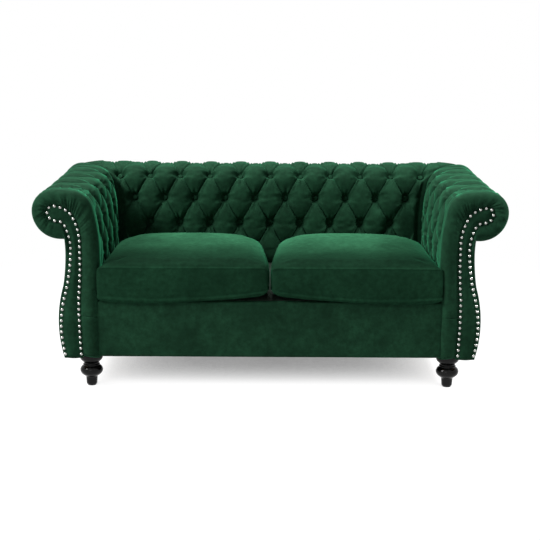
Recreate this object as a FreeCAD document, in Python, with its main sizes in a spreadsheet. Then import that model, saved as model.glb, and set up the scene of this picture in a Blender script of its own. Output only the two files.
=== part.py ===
import FreeCAD, Part
import math
import os
import Sketcher
from FreeCAD import Placement, Rotation, Vector

# A two-seat loveseat with a diamond-tufted back and arms, rolled over at the top.
# Millimetres, +Z up, the front faces -Y, the origin lies on the floor under the middle.

doc = FreeCAD.newDocument("Loveseat")

# Driving dimensions
sheet = doc.addObject("Spreadsheet::Sheet", "Sizes")
sizes = [
    # the whole sofa
    ("overall_width", 1568),
    ("overall_depth", 857),
    ("crest_height", 676),
    ("arm_width", 220),
    ("frame_bottom", 112),
    ("cover_bottom", 105),
    # the rolled profile that arms and back share
    ("lean_angle", 14),
    ("lean_radius", 650),
    ("shoulder_angle", 66),
    ("shoulder_radius", 75),
    ("crest_radius", 400),
    ("roll_height", 165),
    ("neck_drop", 71),
    ("neck_depth", 107),
    ("belly_top_drop", 156),
    ("belly_height", 245),
    ("belly_reach", 28),
    ("foot_line_reach", 11),
    # layers from the fabric inwards
    ("cover_thickness", 34),
    ("foam_thickness", 26),
    ("burlap_thickness", 3),
    ("outside_panel", 8),
    # diamond tufting
    ("crest_row_drop", 24),
    ("low_row_gap", 54),
    ("rows", 4),
    ("back_last_gap", 51),
    ("back_columns", 9),
    ("arm_first_column", 97),
    ("arm_last_gap", 53.5),
    ("arm_columns", 7),
    ("button_seat", 25),
    ("button_sink", 27),
    ("fold_sink", 16),
    ("puff_drop", 5),
    ("pleat_sink", 13),
    ("seam_sink", 9),
    ("seam_bulge", 3),
    ("button_diameter", 22),
    ("button_height", 8),
    ("button_edge", 2),
    # arm fronts
    ("border_front", 20),
    ("border_wrap", 40),
    ("border_round", 14),
    ("front_panel_thickness", 11.5),
    ("nail_diameter", 10.5),
    ("nail_height", 3.2),
    ("nail_shank", 2),
    ("nail_length", 18),
    ("nail_margin", 6.5),
    ("nails_each_arm", 58),
    # wooden frame
    ("rail_thickness", 28),
    ("rail_top", 282),
    ("arm_base_thickness", 24),
    ("arm_base_inset", 3),
    ("front_board", 28),
    ("rib_thickness", 20),
    ("arm_ribs", 3),
    ("arm_rib_spacing", 155),
    ("back_ribs", 4),
    ("back_rib_spacing", 282),
    ("top_rail_lead", 60),
    ("top_rail_width", 52),
    ("top_rail_height", 24),
    ("top_rail_drop", 70),
    ("post_size", 27),
    ("post_gap", 1),
    ("brace_width", 60),
    ("brace_thickness", 22),
    ("block_size", 60),
    ("block_height", 90),
    ("block_lift", 38),
    ("screw_diameter", 5),
    ("screw_head", 10),
    ("screw_head_height", 3),
    ("screw_length", 70),
    # seat deck
    ("spring_wire", 3.8),
    ("spring_loop", 15),
    ("spring_bar", 24),
    ("springs_each_seat", 4),
    ("spring_spacing", 120),
    ("clip_thickness", 2),
    ("clip_length", 26),
    ("clip_width", 34),
    ("deck_pad_thickness", 15),
    ("deck_cloth", 2),
    ("dust_cloth", 1.2),
    # rail cover
    ("rail_cover_thickness", 10),
    ("rail_cover_round", 5),
    # seat cushions
    ("cushion_gap", 6),
    ("cushion_side_gap", 3),
    ("cushion_back_gap", 9),
    ("cushion_seam_height", 111),
    ("cushion_crown", 44),
    ("cushion_corner", 34),
    ("cushion_draw_in", 9),
    ("cushion_front_draw_in", 4),
    ("cushion_bulge", 5),
    ("cushion_rim", 9),
    ("cushion_top_flat", 74),
    ("cushion_cloth", 3),
    ("zip_length", 460),
    ("zip_width", 24),
    ("zip_thickness", 2.4),
    ("slider_length", 12),
    ("slider_width", 9),
    ("slider_thickness", 3.2),
    ("pull_length", 22),
    ("pull_width", 6),
    ("pull_thickness", 1.2),
    # turned feet
    ("foot_inset_side", 179),
    ("foot_inset_front", 59),
    ("foot_inset_back", 152),
    ("collar_diameter", 75),
    ("collar_rim", 6),
    ("collar_height", 22),
    ("groove_diameter", 50),
    ("groove_height", 5),
    ("ball_diameter", 75),
    ("ball_height", 42),
    ("stem_diameter", 42),
    ("toe_diameter", 37),
    ("glide_height", 3),
    ("glide_diameter", 28),
    ("bolt_diameter", 8),
    ("bolt_depth", 34),
    ("insert_diameter", 12),
    # clearances
    ("running_gap", 0.5),
    ("bore_gap", 0.2),
]
for line, (alias, number) in enumerate(sizes, start=1):
    sheet.set(f"A{line}", alias.replace("_", " "))
    sheet.set(f"B{line}", str(number))
    sheet.setAlias(f"B{line}", alias)

# Levels and planes that follow from the sizes
layout = doc.addObject("Spreadsheet::Sheet", "Layout")
levels = [
    ("inside_half", "Sizes.overall_width / 2 - Sizes.arm_width"),
    ("front", "-Sizes.overall_depth / 2"),
    ("back_shift", "Sizes.overall_depth / 2 - Sizes.overall_width / 2"),
    ("foam_line", "Sizes.cover_thickness"),
    ("burlap_line", "Sizes.cover_thickness + Sizes.foam_thickness"),
    ("wood_line", "Sizes.cover_thickness + Sizes.foam_thickness + Sizes.burlap_thickness"),
    ("wood_half", "inside_half + wood_line"),
    ("neck_half", "Sizes.overall_width / 2 - Sizes.neck_depth"),
    ("roll_bottom", "Sizes.crest_height - Sizes.roll_height"),
    ("shoulder_tilt", "Sizes.lean_angle + Sizes.shoulder_angle"),
    ("lean_share", "1 - cos(Sizes.lean_angle * 1 deg)"),
    ("shoulder_share", "cos(Sizes.lean_angle * 1 deg) - cos(shoulder_tilt * 1 deg)"),
    ("lean_and_shoulder", "Sizes.lean_radius * lean_share + Sizes.shoulder_radius * shoulder_share"),
    ("crest_out", "inside_half + lean_and_shoulder + Sizes.crest_radius * cos(shoulder_tilt * 1 deg)"),
    ("panel_half", "neck_half - Sizes.outside_panel"),
    ("back_inner", "inside_half + wood_line + back_shift"),
    ("overall_back", "Sizes.overall_depth / 2"),
    ("back_outer", "overall_back - Sizes.neck_depth"),
    ("back_lining", "back_outer - Sizes.outside_panel"),
    ("frame_front", "front + Sizes.border_front"),
    ("board_back", "frame_front + Sizes.front_board"),
    ("cover_front", "front + Sizes.border_front + Sizes.border_wrap"),
    ("arm_base_top", "Sizes.frame_bottom + Sizes.arm_base_thickness"),
    ("spring_level", "Sizes.rail_top + Sizes.clip_thickness + Sizes.spring_wire / 2"),
    ("deck_bottom", "spring_level + Sizes.spring_wire / 2 + Sizes.running_gap"),
    ("deck_top", "deck_bottom + Sizes.deck_pad_thickness + Sizes.deck_cloth"),
    ("seat_line", "deck_top + Sizes.running_gap"),
    ("cushion_inner", "Sizes.cushion_gap / 2"),
    ("cushion_outer", "inside_half - Sizes.cushion_side_gap"),
    ("cushion_back", "inside_half + back_shift - Sizes.cushion_back_gap"),
    ("cushion_middle", "(cushion_inner + cushion_outer) / 2"),
    ("zip_level", "seat_line + Sizes.cushion_seam_height / 2"),
    ("mitre_depth", "inside_half + back_shift - front"),
    ("back_column_pitch", "(inside_half - Sizes.back_last_gap) / Sizes.back_columns"),
    ("arm_tufted_length", "mitre_depth - Sizes.arm_first_column - Sizes.arm_last_gap"),
    ("arm_column_pitch", "arm_tufted_length / Sizes.arm_columns"),
    ("rail_back", "back_inner - Sizes.rail_thickness"),
    ("top_rail_start", "crest_out - Sizes.top_rail_lead"),
    ("top_rail_end", "top_rail_start + Sizes.top_rail_width"),
    ("top_rail_top", "Sizes.crest_height - Sizes.top_rail_drop"),
    ("top_rail_bottom", "top_rail_top - Sizes.top_rail_height"),
    ("arm_base_inner", "inside_half - Sizes.arm_base_inset"),
    ("arm_base_outer", "neck_half + Sizes.foot_line_reach - Sizes.outside_panel"),
    ("foot_side", "Sizes.overall_width / 2 - Sizes.foot_inset_side"),
    ("foot_front", "front + Sizes.foot_inset_front"),
    ("foot_back", "overall_back - Sizes.foot_inset_back"),
    ("collar_low", "Sizes.frame_bottom - Sizes.collar_height"),
    ("ball_top", "collar_low - Sizes.groove_height"),
    ("ball_bottom", "ball_top - Sizes.ball_height"),
    ("ball_slant", "(Sizes.groove_diameter - Sizes.stem_diameter) / 2"),
    ("ball_chord_square", "Sizes.ball_height * Sizes.ball_height + ball_slant * ball_slant"),
    ("ball_rise", "Sizes.ball_diameter / 2 - (Sizes.groove_diameter + Sizes.stem_diameter) / 4"),
    ("ball_bow", "(ball_chord_square / 4 + ball_rise * ball_rise) / (2 * ball_rise)"),
    ("nail_half", "Sizes.nail_diameter / 2"),
    ("nail_bow", "(nail_half * nail_half + Sizes.nail_height * Sizes.nail_height) / (2 * Sizes.nail_height)"),
    ("button_half", "Sizes.button_diameter / 2"),
    ("button_rise", "Sizes.button_height - Sizes.button_edge"),
    ("button_bow", "(button_half * button_half + button_rise * button_rise) / (2 * button_rise)"),
]
for line, (alias, formula) in enumerate(levels, start=1):
    layout.set(f"A{line}", alias.replace("_", " "))
    layout.set(f"B{line}", "=" + formula)
    layout.setAlias(f"B{line}", alias)
doc.recompute()


def size(name):
    return float(sheet.get(name))


def level(name):
    return float(layout.get(name))


nodes = []


def keep(piece, label):
    piece.Label = label
    nodes.append(piece)
    return piece


# Boxes bound to the sheet: each span is a pair of expressions, low and high
def box(name, x_span, y_span, z_span):
    piece = doc.addObject("Part::Box", name)
    for side, span in zip(("Length", "Width", "Height"), (x_span, y_span, z_span)):
        piece.setExpression(side, f"({span[1]}) - ({span[0]})")
    for axis, span in zip("xyz", (x_span, y_span, z_span)):
        piece.setExpression(f"Placement.Base.{axis}", span[0])
    return piece


def flipped(span):
    return (f"-({span[1]})", f"-({span[0]})")


def pair(name, x_span, y_span, z_span):
    right = box("right_" + name, x_span, y_span, z_span)
    left = box("left_" + name, flipped(x_span), y_span, z_span)
    return left, right


def cut(name, base, tool):
    piece = doc.addObject("Part::Cut", name)
    piece.Base = base
    piece.Tool = tool
    return piece


def bundle(name, pieces):
    piece = doc.addObject("Part::Compound", name)
    piece.Links = pieces
    return piece


def shaped(name, shape):
    piece = doc.addObject("Part::Feature", name)
    piece.Shape = shape
    piece.Placement = Placement()
    return piece


def mirror(shape):
    return shape.mirror(Vector(0, 0, 0), Vector(1, 0, 0))


def shaped_pair(name, right_shape):
    return [
        keep(shaped("left_" + name, mirror(right_shape)), "left_" + name),
        keep(shaped("right_" + name, right_shape), "right_" + name),
    ]


# The rolled profile, in a plane across the arm: "out" runs from the middle of the sofa outwards.
# A station is a length along the crown of the profile, from the floor up the inside and over the roll.
# An inset is a depth below the crown.
inside_half = level("inside_half")
crest_height = size("crest_height")
lean_end = size("lean_angle")
shoulder_end = lean_end + size("shoulder_angle")


def cosine(degrees):
    return math.cos(math.radians(degrees))


def sine(degrees):
    return math.sin(math.radians(degrees))


roll_bottom = level("roll_bottom")
roll_radius = size("overall_width") / 2 - level("crest_out")
under_radius = size("roll_height") - roll_radius
straight_top = (
    crest_height
    - size("crest_radius") * (1 - sine(shoulder_end))
    - size("shoulder_radius") * (sine(shoulder_end) - sine(lean_end))
    - size("lean_radius") * sine(lean_end)
)
# Each bend: its radius, and the tilts at which it starts and ends
bends = [
    (size("lean_radius"), 0, lean_end),
    (size("shoulder_radius"), lean_end, shoulder_end),
    (size("crest_radius"), shoulder_end, 90),
    (roll_radius, 90, 180),
    (under_radius, 180, 270),
]
bend_stations = [straight_top]
for radius, start, end in bends:
    bend_stations.append(bend_stations[-1] + radius * math.radians(end - start))
crest_station, side_station, under_station = bend_stations[3:6]


def tilt_at(station):
    if station <= straight_top:
        return 0
    for (radius, start, end), first, last in zip(bends, bend_stations, bend_stations[1:]):
        if station <= last or end == bends[-1][2]:
            return start + math.degrees((station - first) / radius)


def on_profile(station, inset=0.0):
    tilt = 0
    out = inside_half
    up = min(station, straight_top)
    for (radius, start, end), first, last in zip(bends, bend_stations, bend_stations[1:]):
        if station > first:
            tilt = min(end, start + math.degrees((station - first) / radius))
            out += radius * (cosine(start) - cosine(tilt))
            up += radius * (sine(tilt) - sine(start))
    out -= max(0, station - under_station)
    return (out + inset * cosine(tilt), up - inset * sine(tilt))


# Past the roll the cover runs straight in to the neck, where it is tacked
neck_half = level("neck_half")
tail_station = under_station + on_profile(under_station)[0] - neck_half - size("running_gap")


# Places turn a point of the profile into a point of the sofa
def across_arm(depth):
    return lambda out, up: Vector(out, depth, up)


def across_back(offset):
    return lambda out, up: Vector(offset, out + level("back_shift"), up)


def at_mitre(out, up):
    return Vector(out, out + level("back_shift"), up)


def towards_mitre(plane, share, shift=0.0):
    def place(out, up):
        start = plane(out, up)
        end = at_mitre(out, up)
        step = start + (end - start) * share
        along = (end - start).normalize()
        return step + along * shift
    return place


def run(place, start, end, middle=None):
    if middle is None:
        return Part.LineSegment(place(*start), place(*end)).toShape()
    return Part.Arc(place(*start), place(*middle), place(*end)).toShape()


def layer_edges(place, inset, first, last):
    stations = [first]
    stations += [station for station in bend_stations if first < station < last]
    stations.append(last)
    edges = []
    for low, high in zip(stations, stations[1:]):
        straight = high <= straight_top or low >= under_station
        middle = None if straight else on_profile((low + high) / 2, inset)
        edges.append(run(place, on_profile(low, inset), on_profile(high, inset), middle))
    return edges


def band_wire(place, outer, inner, first, last):
    edges = layer_edges(place, outer, first, last)
    back = layer_edges(place, inner, first, last)
    ends = [
        run(place, on_profile(last, outer), on_profile(last, inner)),
        run(place, on_profile(first, outer), on_profile(first, inner)),
    ]
    return Part.Wire(Part.sortEdges(edges + [ends[0]] + back + [ends[1]])[0])


def ruled_solid(wires):
    solid = Part.makeLoft(wires, True, True)
    if solid.Volume < 0:
        solid.reverse()
    return solid


# Diamond tufting. Rows are counted down from row 0 on the crest.
# Crest columns hold the buttons of row 2 and the valleys of the pleats over the roll,
# shoulder columns hold the buttons of rows 1 and 3, and folds cross the slant columns between them.
first_station = level("seat_line")
crest_row = crest_station - size("crest_row_drop")
row_pitch = (crest_row - first_station - size("low_row_gap")) / size("rows")


def row_station(row):
    return crest_row - row * row_pitch


def seat_points(row, sink):
    station = row_station(row)
    tilt = tilt_at(station)
    out, up = on_profile(station, sink)
    half = size("button_seat") / 2
    step = (half * sine(tilt), half * cosine(tilt))
    return [(out - step[0], up - step[1]), (out + step[0], up + step[1])]


def tuft_points(column):
    button = size("button_sink")
    fold = size("fold_sink")
    crown = size("puff_drop")
    pleat = size("pleat_sink")
    start = on_profile(first_station, fold)
    if column == "crest":
        points = [start, on_profile(row_station(4), fold)] + seat_points(2, button) + seat_points(0, pleat)
        low_middle = (row_station(4) + row_station(2) - size("button_seat") / 2) / 2
        middles = [None, on_profile(low_middle), None, on_profile(row_station(1)), None]
        return points, middles, pleat
    if column == "shoulder":
        points = [start] + seat_points(3, button) + seat_points(1, button) + [on_profile(row_station(-0.5))]
        low_middle = (first_station + row_station(3) - size("button_seat") / 2) / 2
        middles = [on_profile(low_middle), None, on_profile(row_station(2)), None, on_profile(row_station(0))]
        return points, middles, 0
    if column == "corner":
        points = [start, on_profile(row_station(3.5), crown), on_profile(row_station(2.5), crown)]
        points += seat_points(1, button) + [on_profile(row_station(-0.5), crown)]
        middles = [on_profile(row_station(4)), on_profile(row_station(3)), on_profile(row_station(2))]
        middles += [None, on_profile(row_station(0), crown)]
        return points, middles, crown
    if column == "slant":
        sinks = [fold, crown, crown, crown / 2]
    elif column == "seam":
        sinks = [size("seam_sink") + size("seam_bulge"), size("seam_sink")] + [size("seam_sink")] * 2
    else:
        sinks = [size("seam_bulge"), 0, 0, 0]
    points = [start if column == "slant" else on_profile(first_station, sinks[0])]
    points += [on_profile(row_station(row), sinks[0]) for row in (3.5, 2.5, 1.5, 0.5)]
    points.append(on_profile(row_station(-0.5), sinks[3]))
    middles = [on_profile(row_station(row), sinks[1]) for row in (4, 3, 2, 1, 0)]
    return points, middles, sinks[3]


def tufted_wire(place, column):
    points, middles, sink = tuft_points(column)
    edges = [run(place, low, high, middle) for low, high, middle in zip(points, points[1:], middles)]
    last = row_station(0) if column == "crest" else row_station(-0.5)
    side, under, tail = [on_profile(station, sink) for station in (side_station, under_station, tail_station)]
    edges.append(run(place, points[-1], side, on_profile((last + side_station) / 2, sink)))
    edges.append(run(place, side, under, on_profile((side_station + under_station) / 2, sink)))
    edges.append(run(place, under, tail))
    inset = level("foam_line")
    edges.append(run(place, tail, on_profile(tail_station, inset)))
    edges += reversed(layer_edges(place, inset, first_station, tail_station))
    edges.append(run(place, on_profile(first_station, inset), points[0]))
    return Part.Wire(edges)


def seat_pair(centre, column, make_place):
    half = size("button_seat") / 2
    return [(make_place(centre - half), column), (make_place(centre + half), column)]


# The back's columns, from the middle to the right corner and mirrored to the left
def back_sections():
    pitch = level("back_column_pitch")
    count = int(size("back_columns"))
    right = []
    for number in range(0, count + 1):
        column = "shoulder" if number % 2 == 0 else "crest"
        if number:
            right.append((across_back(pitch * (number - 0.5)), "slant"))
        right += seat_pair(pitch * number, column, across_back)
    last = across_back(pitch * count + size("button_seat") / 2)
    return right, last


def corner_sections(last):
    half = size("button_seat") / 2
    return [
        (towards_mitre(last, 0.5, -half), "corner"),
        (towards_mitre(last, 0.5, half), "corner"),
        (at_mitre, "seam"),
    ]


def mirrored_place(place):
    def other(out, up):
        point = place(out, up)
        return Vector(-point.x, point.y, point.z)
    return other


right_sections, back_last = back_sections()
right_sections += corner_sections(back_last)
left_sections = [(mirrored_place(place), column) for place, column in reversed(right_sections[2:])]
back_wires = [tufted_wire(place, column) for place, column in left_sections + right_sections]
keep(shaped("back_tufted_cover", ruled_solid(back_wires)), "back_tufted_cover")


def arm_sections():
    sections = [(across_arm(level("cover_front")), "plain")]
    for number in range(int(size("arm_columns")) + 1):
        centre = level("front") + size("arm_first_column") + number * level("arm_column_pitch")
        column = "crest" if number % 2 == 0 else "shoulder"
        if number:
            sections.append((across_arm(centre - level("arm_column_pitch") / 2), "slant"))
        sections += seat_pair(centre, column, across_arm)
    return sections, across_arm(centre + size("button_seat") / 2)


arm_places, arm_last = arm_sections()
arm_places += [(towards_mitre(arm_last, 0.5), "plain"), (at_mitre, "seam")]
arm_wires = [tufted_wire(place, column) for place, column in arm_places]
shaped_pair("arm_tufted_cover", ruled_solid(arm_wires))

# Foam and burlap follow the underside of the covers
arm_run = [across_arm(level("cover_front")), arm_last, towards_mitre(arm_last, 0.5), at_mitre]
back_half_run = [back_last] + [place for place, column in corner_sections(back_last)]
back_run = [mirrored_place(place) for place in reversed(back_half_run)] + back_half_run


def layer(places, outer, inner, last):
    return ruled_solid([band_wire(place, outer, inner, first_station, last) for place in places])


for name, outer, inner in (
    ("foam", level("foam_line"), level("burlap_line")),
    ("burlap", level("burlap_line"), level("wood_line")),
):
    shaped_pair("arm_" + name, layer(arm_run, outer, inner, tail_station))
    keep(shaped("back_" + name, layer(back_run, outer, inner, tail_station)), "back_" + name)


# Arm fronts: the outline of the whole arm end, drawn in by an inset on the roll and another on the side
def side_points(inset):
    return [
        (neck_half - inset, roll_bottom),
        (neck_half - inset, roll_bottom - size("neck_drop")),
        (neck_half + size("belly_reach") / 3 - inset, roll_bottom - size("belly_top_drop")),
        (neck_half + size("belly_reach") - inset, size("belly_height")),
        (neck_half + size("foot_line_reach") - inset, size("frame_bottom")),
    ]


def side_edges(place, inset, bottom):
    points = side_points(inset)
    end = (points[4][0], bottom)
    return [
        run(place, points[0], points[2], points[1]),
        run(place, points[2], end, points[3]),
    ]


def arm_end_wire(depth, inset, side_inset, bottom, stepped):
    place = across_arm(depth)
    edges = layer_edges(place, inset, bottom, tail_station)
    corner = on_profile(tail_station, inset)
    side_top = side_points(side_inset)[0]
    if stepped:
        edges.append(run(place, corner, (side_top[0], corner[1])))
        corner = (side_top[0], corner[1])
    edges.append(run(place, corner, side_top))
    edges += side_edges(place, side_inset, bottom)
    edges.append(run(place, (side_points(side_inset)[4][0], bottom), on_profile(bottom, inset)))
    return Part.Wire(edges)


# A board of the arm stands on the arm's base, so its foot is cut off level with it
def arm_board(start, end, inset):
    face = Part.Face(arm_end_wire(start, inset, size("outside_panel"), frame_bottom, True))
    board = face.extrude(Vector(0, end - start, 0))
    width = size("overall_width") / 2
    foot = Part.makeBox(width, end - start, level("arm_base_top") - frame_bottom, Vector(0, start, frame_bottom))
    return board.cut(foot)


# The nail line: arcs through three marks each, out from the inside of the arm and up from the frame's bottom,
# on a front that stands this high from the frame's bottom to the crest
nail_marks_height = 564
nail_arcs = [
    ((118, 0), (131, 118), (116, 212)),
    ((116, 212), (102, 276), (94, 346)),
    ((94, 346), (97, 403), (109, 441)),
    ((109, 441), (119, 456), (138, 462)),
    ((138, 462), (156, 468), (165, 482)),
    ((165, 482), (164, 502), (151, 511)),
    ((151, 511), (120, 505), (91, 485)),
    ((91, 485), (73, 446), (64, 378)),
    ((64, 378), (65, 290), (71, 200)),
    ((71, 200), (71, 100), (67, 0)),
]
front = level("front")
frame_front = level("frame_front")
frame_bottom = size("frame_bottom")
panel_front = frame_front - size("front_panel_thickness")


def nail_mark(mark):
    rise = mark[1] * (crest_height - frame_bottom) / nail_marks_height
    return Vector(inside_half + mark[0], panel_front, frame_bottom + rise)


nail_line = Part.Wire([Part.Arc(*[nail_mark(mark) for mark in marks]).toShape() for marks in nail_arcs])
nail_base = Part.LineSegment(nail_mark(nail_arcs[-1][2]), nail_mark(nail_arcs[0][0])).toShape()
panel_face = Part.Face(Part.Wire(nail_line.Edges + [nail_base]).makeOffset2D(size("nail_margin")))
shaped_pair("front_panel", panel_face.extrude(Vector(0, size("front_panel_thickness"), 0)))

# The border: a puffed ring round the panel, wrapped back over the end of the arm
border_round = size("border_round")
puff_wires = []
for depth_share, inset_share in ((None, 0), (0.75, 0.02), (0.3, 0.3), (0, 1)):
    depth = size("border_front") if depth_share is None else depth_share * border_round
    inset = inset_share * border_round
    side_inset = inset * 0.15
    bottom = size("cover_bottom") + side_inset
    puff_wires.append(arm_end_wire(front + depth, inset, side_inset, bottom, False))
hole = panel_face.copy()
hole.translate(Vector(0, front - panel_front, 0))
hole = hole.extrude(Vector(0, size("border_front"), 0))
wrap_face = Part.Face(band_wire(across_arm(frame_front), 0, size("border_wrap"), first_station, tail_station))
wrap = wrap_face.extrude(Vector(0, size("border_wrap"), 0))
border = ruled_solid(puff_wires).cut(hole).fuse(wrap).removeSplitter()
shaped_pair("arm_border", border.Solids[0])


# Sketches: corners are pairs of expressions, across and up; bows gives the radius of an edge that is an arc
def reading(expression):
    return float(sheet.evalExpression(expression))


def origin_plane(body, role):
    return [plane for plane in body.Origin.OriginFeatures if plane.Role == role][0]


def bind(sketch, kind, number, position, expression):
    if expression == "0":
        axis = -2 if kind == "DistanceX" else -1
        sketch.addConstraint(Sketcher.Constraint("PointOnObject", number, position, axis))
        return
    index = sketch.addConstraint(Sketcher.Constraint(kind, number, position, reading(expression)))
    sketch.setExpression(f"Constraints[{index}]", expression)


def bowed(start, end, radius):
    chord = end - start
    side = Vector(chord.y, -chord.x, 0).normalize()
    rise = radius - math.sqrt(radius ** 2 - chord.Length ** 2 / 4)
    return Part.Arc(start, start + chord * 0.5 + side * rise, end)


def outline_sketch(body, name, corners, bows):
    sketch = body.newObject("Sketcher::SketchObject", name)
    sketch.AttachmentSupport = [(origin_plane(body, "XZ_Plane"), "")]
    sketch.MapMode = "FlatFace"
    points = [Vector(reading(across), reading(up), 0) for across, up in corners]
    ends = points[1:] + points[:1]
    for number, (start, end) in enumerate(zip(points, ends)):
        if number in bows:
            sketch.addGeometry(bowed(start, end, reading(bows[number])), False)
        else:
            sketch.addGeometry(Part.LineSegment(start, end), False)
    starts = []
    for number, start in enumerate(points):
        starts.append(1 if (sketch.getPoint(number, 1) - start).Length < 1e-6 else 2)
    for number, corner in enumerate(corners):
        before = number - 1 if number else len(corners) - 1
        link = Sketcher.Constraint("Coincident", before, 3 - starts[before], number, starts[number])
        sketch.addConstraint(link)
        bind(sketch, "DistanceX", number, starts[number], corner[0])
        bind(sketch, "DistanceY", number, starts[number], corner[1])
    for number, radius in bows.items():
        index = sketch.addConstraint(Sketcher.Constraint("Radius", number, reading(radius)))
        sketch.setExpression(f"Constraints[{index}]", radius)
    return sketch


def turned(name, corners, bows):
    body = doc.addObject("PartDesign::Body", name)
    sketch = outline_sketch(body, name + "_outline", corners, bows)
    spin = body.newObject("PartDesign::Revolution", name + "_turning")
    spin.Profile = sketch
    spin.ReferenceAxis = (sketch, ["V_Axis"])
    spin.Angle = 360
    return body


# Nails: domed heads on the panel's edge, their shanks driven through it into the wood
nail = turned(
    "nail",
    [
        ("0", "-Sizes.nail_length"),
        ("Sizes.nail_shank / 2", "-Sizes.nail_length"),
        ("Sizes.nail_shank / 2", "0"),
        ("Sizes.nail_diameter / 2", "0"),
        ("0", "Sizes.nail_height"),
    ],
    {3: "Layout.nail_bow"},
)
button = turned(
    "button",
    [
        ("0", "0"),
        ("Sizes.button_diameter / 2", "0"),
        ("Sizes.button_diameter / 2", "Sizes.button_edge"),
        ("0", "Sizes.button_height"),
    ],
    {2: "Layout.button_bow"},
)
doc.recompute()


def facing(point, direction):
    return Placement(point, Rotation(Vector(0, 0, 1), direction))


def copies(pattern, places):
    shapes = []
    for place in places:
        shape = pattern.Shape.copy()
        shape.Placement = place.multiply(shape.Placement)
        shapes.append(shape)
    return Part.makeCompound(shapes)


nail_count = int(size("nails_each_arm"))
nail_points = nail_line.discretize(Number=2 * nail_count + 1)[1::2]
shaped_pair("nailheads", copies(nail, [facing(point, Vector(0, -1, 0)) for point in nail_points]))


# Buttons sit on the flat seats of the tufts
def button_place(row, place):
    station = row_station(row)
    seat = on_profile(station, size("button_sink"))
    above = on_profile(station, size("button_sink") - size("button_height"))
    point = place(*seat)
    return facing(point, place(*above) - point)


def back_button_places():
    places = []
    for number in range(-int(size("back_columns")), int(size("back_columns")) + 1):
        rows = (1, 3) if number % 2 == 0 else (2,)
        centre = across_back(number * level("back_column_pitch"))
        places += [button_place(row, centre) for row in rows]
    corner = towards_mitre(back_last, 0.5)
    tilt = tilt_at(row_station(1))
    for place in (corner, mirrored_place(corner)):
        point = place(*on_profile(row_station(1), size("button_sink")))
        places.append(facing(point, Vector(0, -cosine(tilt), sine(tilt))))
    return places


def arm_button_places():
    places = []
    for number in range(int(size("arm_columns")) + 1):
        rows = (2,) if number % 2 == 0 else (1, 3)
        depth = front + size("arm_first_column") + number * level("arm_column_pitch")
        places += [button_place(row, across_arm(depth)) for row in rows]
    return places


keep(shaped("back_buttons", copies(button, back_button_places())), "back_buttons")
shaped_pair("arm_buttons", copies(button, arm_button_places()))

# Outside panels of the arms and the back, which reach up behind the tacked edge of the rolls
panel_top = roll_bottom + size("cover_thickness")


def panel_edge(place, inset):
    points = side_points(inset)
    rise = run(place, (points[0][0], panel_top), points[0])
    return [rise] + side_edges(place, inset, frame_bottom)


def outside_arm():
    place = across_arm(frame_front)
    edges = panel_edge(place, 0) + panel_edge(place, size("outside_panel"))
    for number, height in ((0, panel_top), (4, frame_bottom)):
        outer, inner = [side_points(inset)[number][0] for inset in (0, size("outside_panel"))]
        edges.append(run(place, (outer, height), (inner, height)))
    face = Part.Face(Part.Wire(Part.sortEdges(edges)[0]))
    return face.extrude(Vector(0, level("back_lining") - frame_front, 0))


def outside_back():
    place = across_arm(level("back_lining"))
    edges = panel_edge(place, 0) + panel_edge(mirrored_place(place), 0)
    for number, height in ((0, panel_top), (4, frame_bottom)):
        reach = side_points(0)[number][0]
        edges.append(run(place, (-reach, height), (reach, height)))
    face = Part.Face(Part.Wire(Part.sortEdges(edges)[0]))
    return face.extrude(Vector(0, size("outside_panel"), 0))


shaped_pair("outside_arm_panel", outside_arm())
keep(shaped("outside_back_panel", outside_back()), "outside_back_panel")

# Wooden frame: arm bases, rails, boards, ribs, posts and top rails
frame_rise = ("Sizes.frame_bottom", "Sizes.rail_top")
foot_centres = {
    "front_left": ("-Layout.foot_side", "Layout.foot_front"),
    "front_right": ("Layout.foot_side", "Layout.foot_front"),
    "back_left": ("-Layout.foot_side", "Layout.foot_back"),
    "back_right": ("Layout.foot_side", "Layout.foot_back"),
}


def rod(name, diameter, centre, low, high):
    piece = doc.addObject("Part::Cylinder", name)
    piece.setExpression("Radius", f"({diameter}) / 2")
    piece.setExpression("Height", f"({high}) - ({low})")
    piece.setExpression("Placement.Base.x", centre[0])
    piece.setExpression("Placement.Base.y", centre[1])
    piece.setExpression("Placement.Base.z", low)
    return piece


base_blanks = pair(
    "arm_base_blank",
    ("Layout.arm_base_inner", "Layout.arm_base_outer"),
    ("Layout.frame_front", "Layout.back_lining"),
    ("Sizes.frame_bottom", "Layout.arm_base_top"),
)
for side, blank in zip(("left", "right"), base_blanks):
    bores = []
    for corner in ("front_" + side, "back_" + side):
        span = ("Sizes.frame_bottom", "Layout.arm_base_top")
        bores.append(rod(corner + "_bore", "Sizes.insert_diameter", foot_centres[corner], *span))
    keep(cut(side + "_arm_base_bored", blank, bundle(side + "_bores", bores)), side + "_arm_base")

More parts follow.
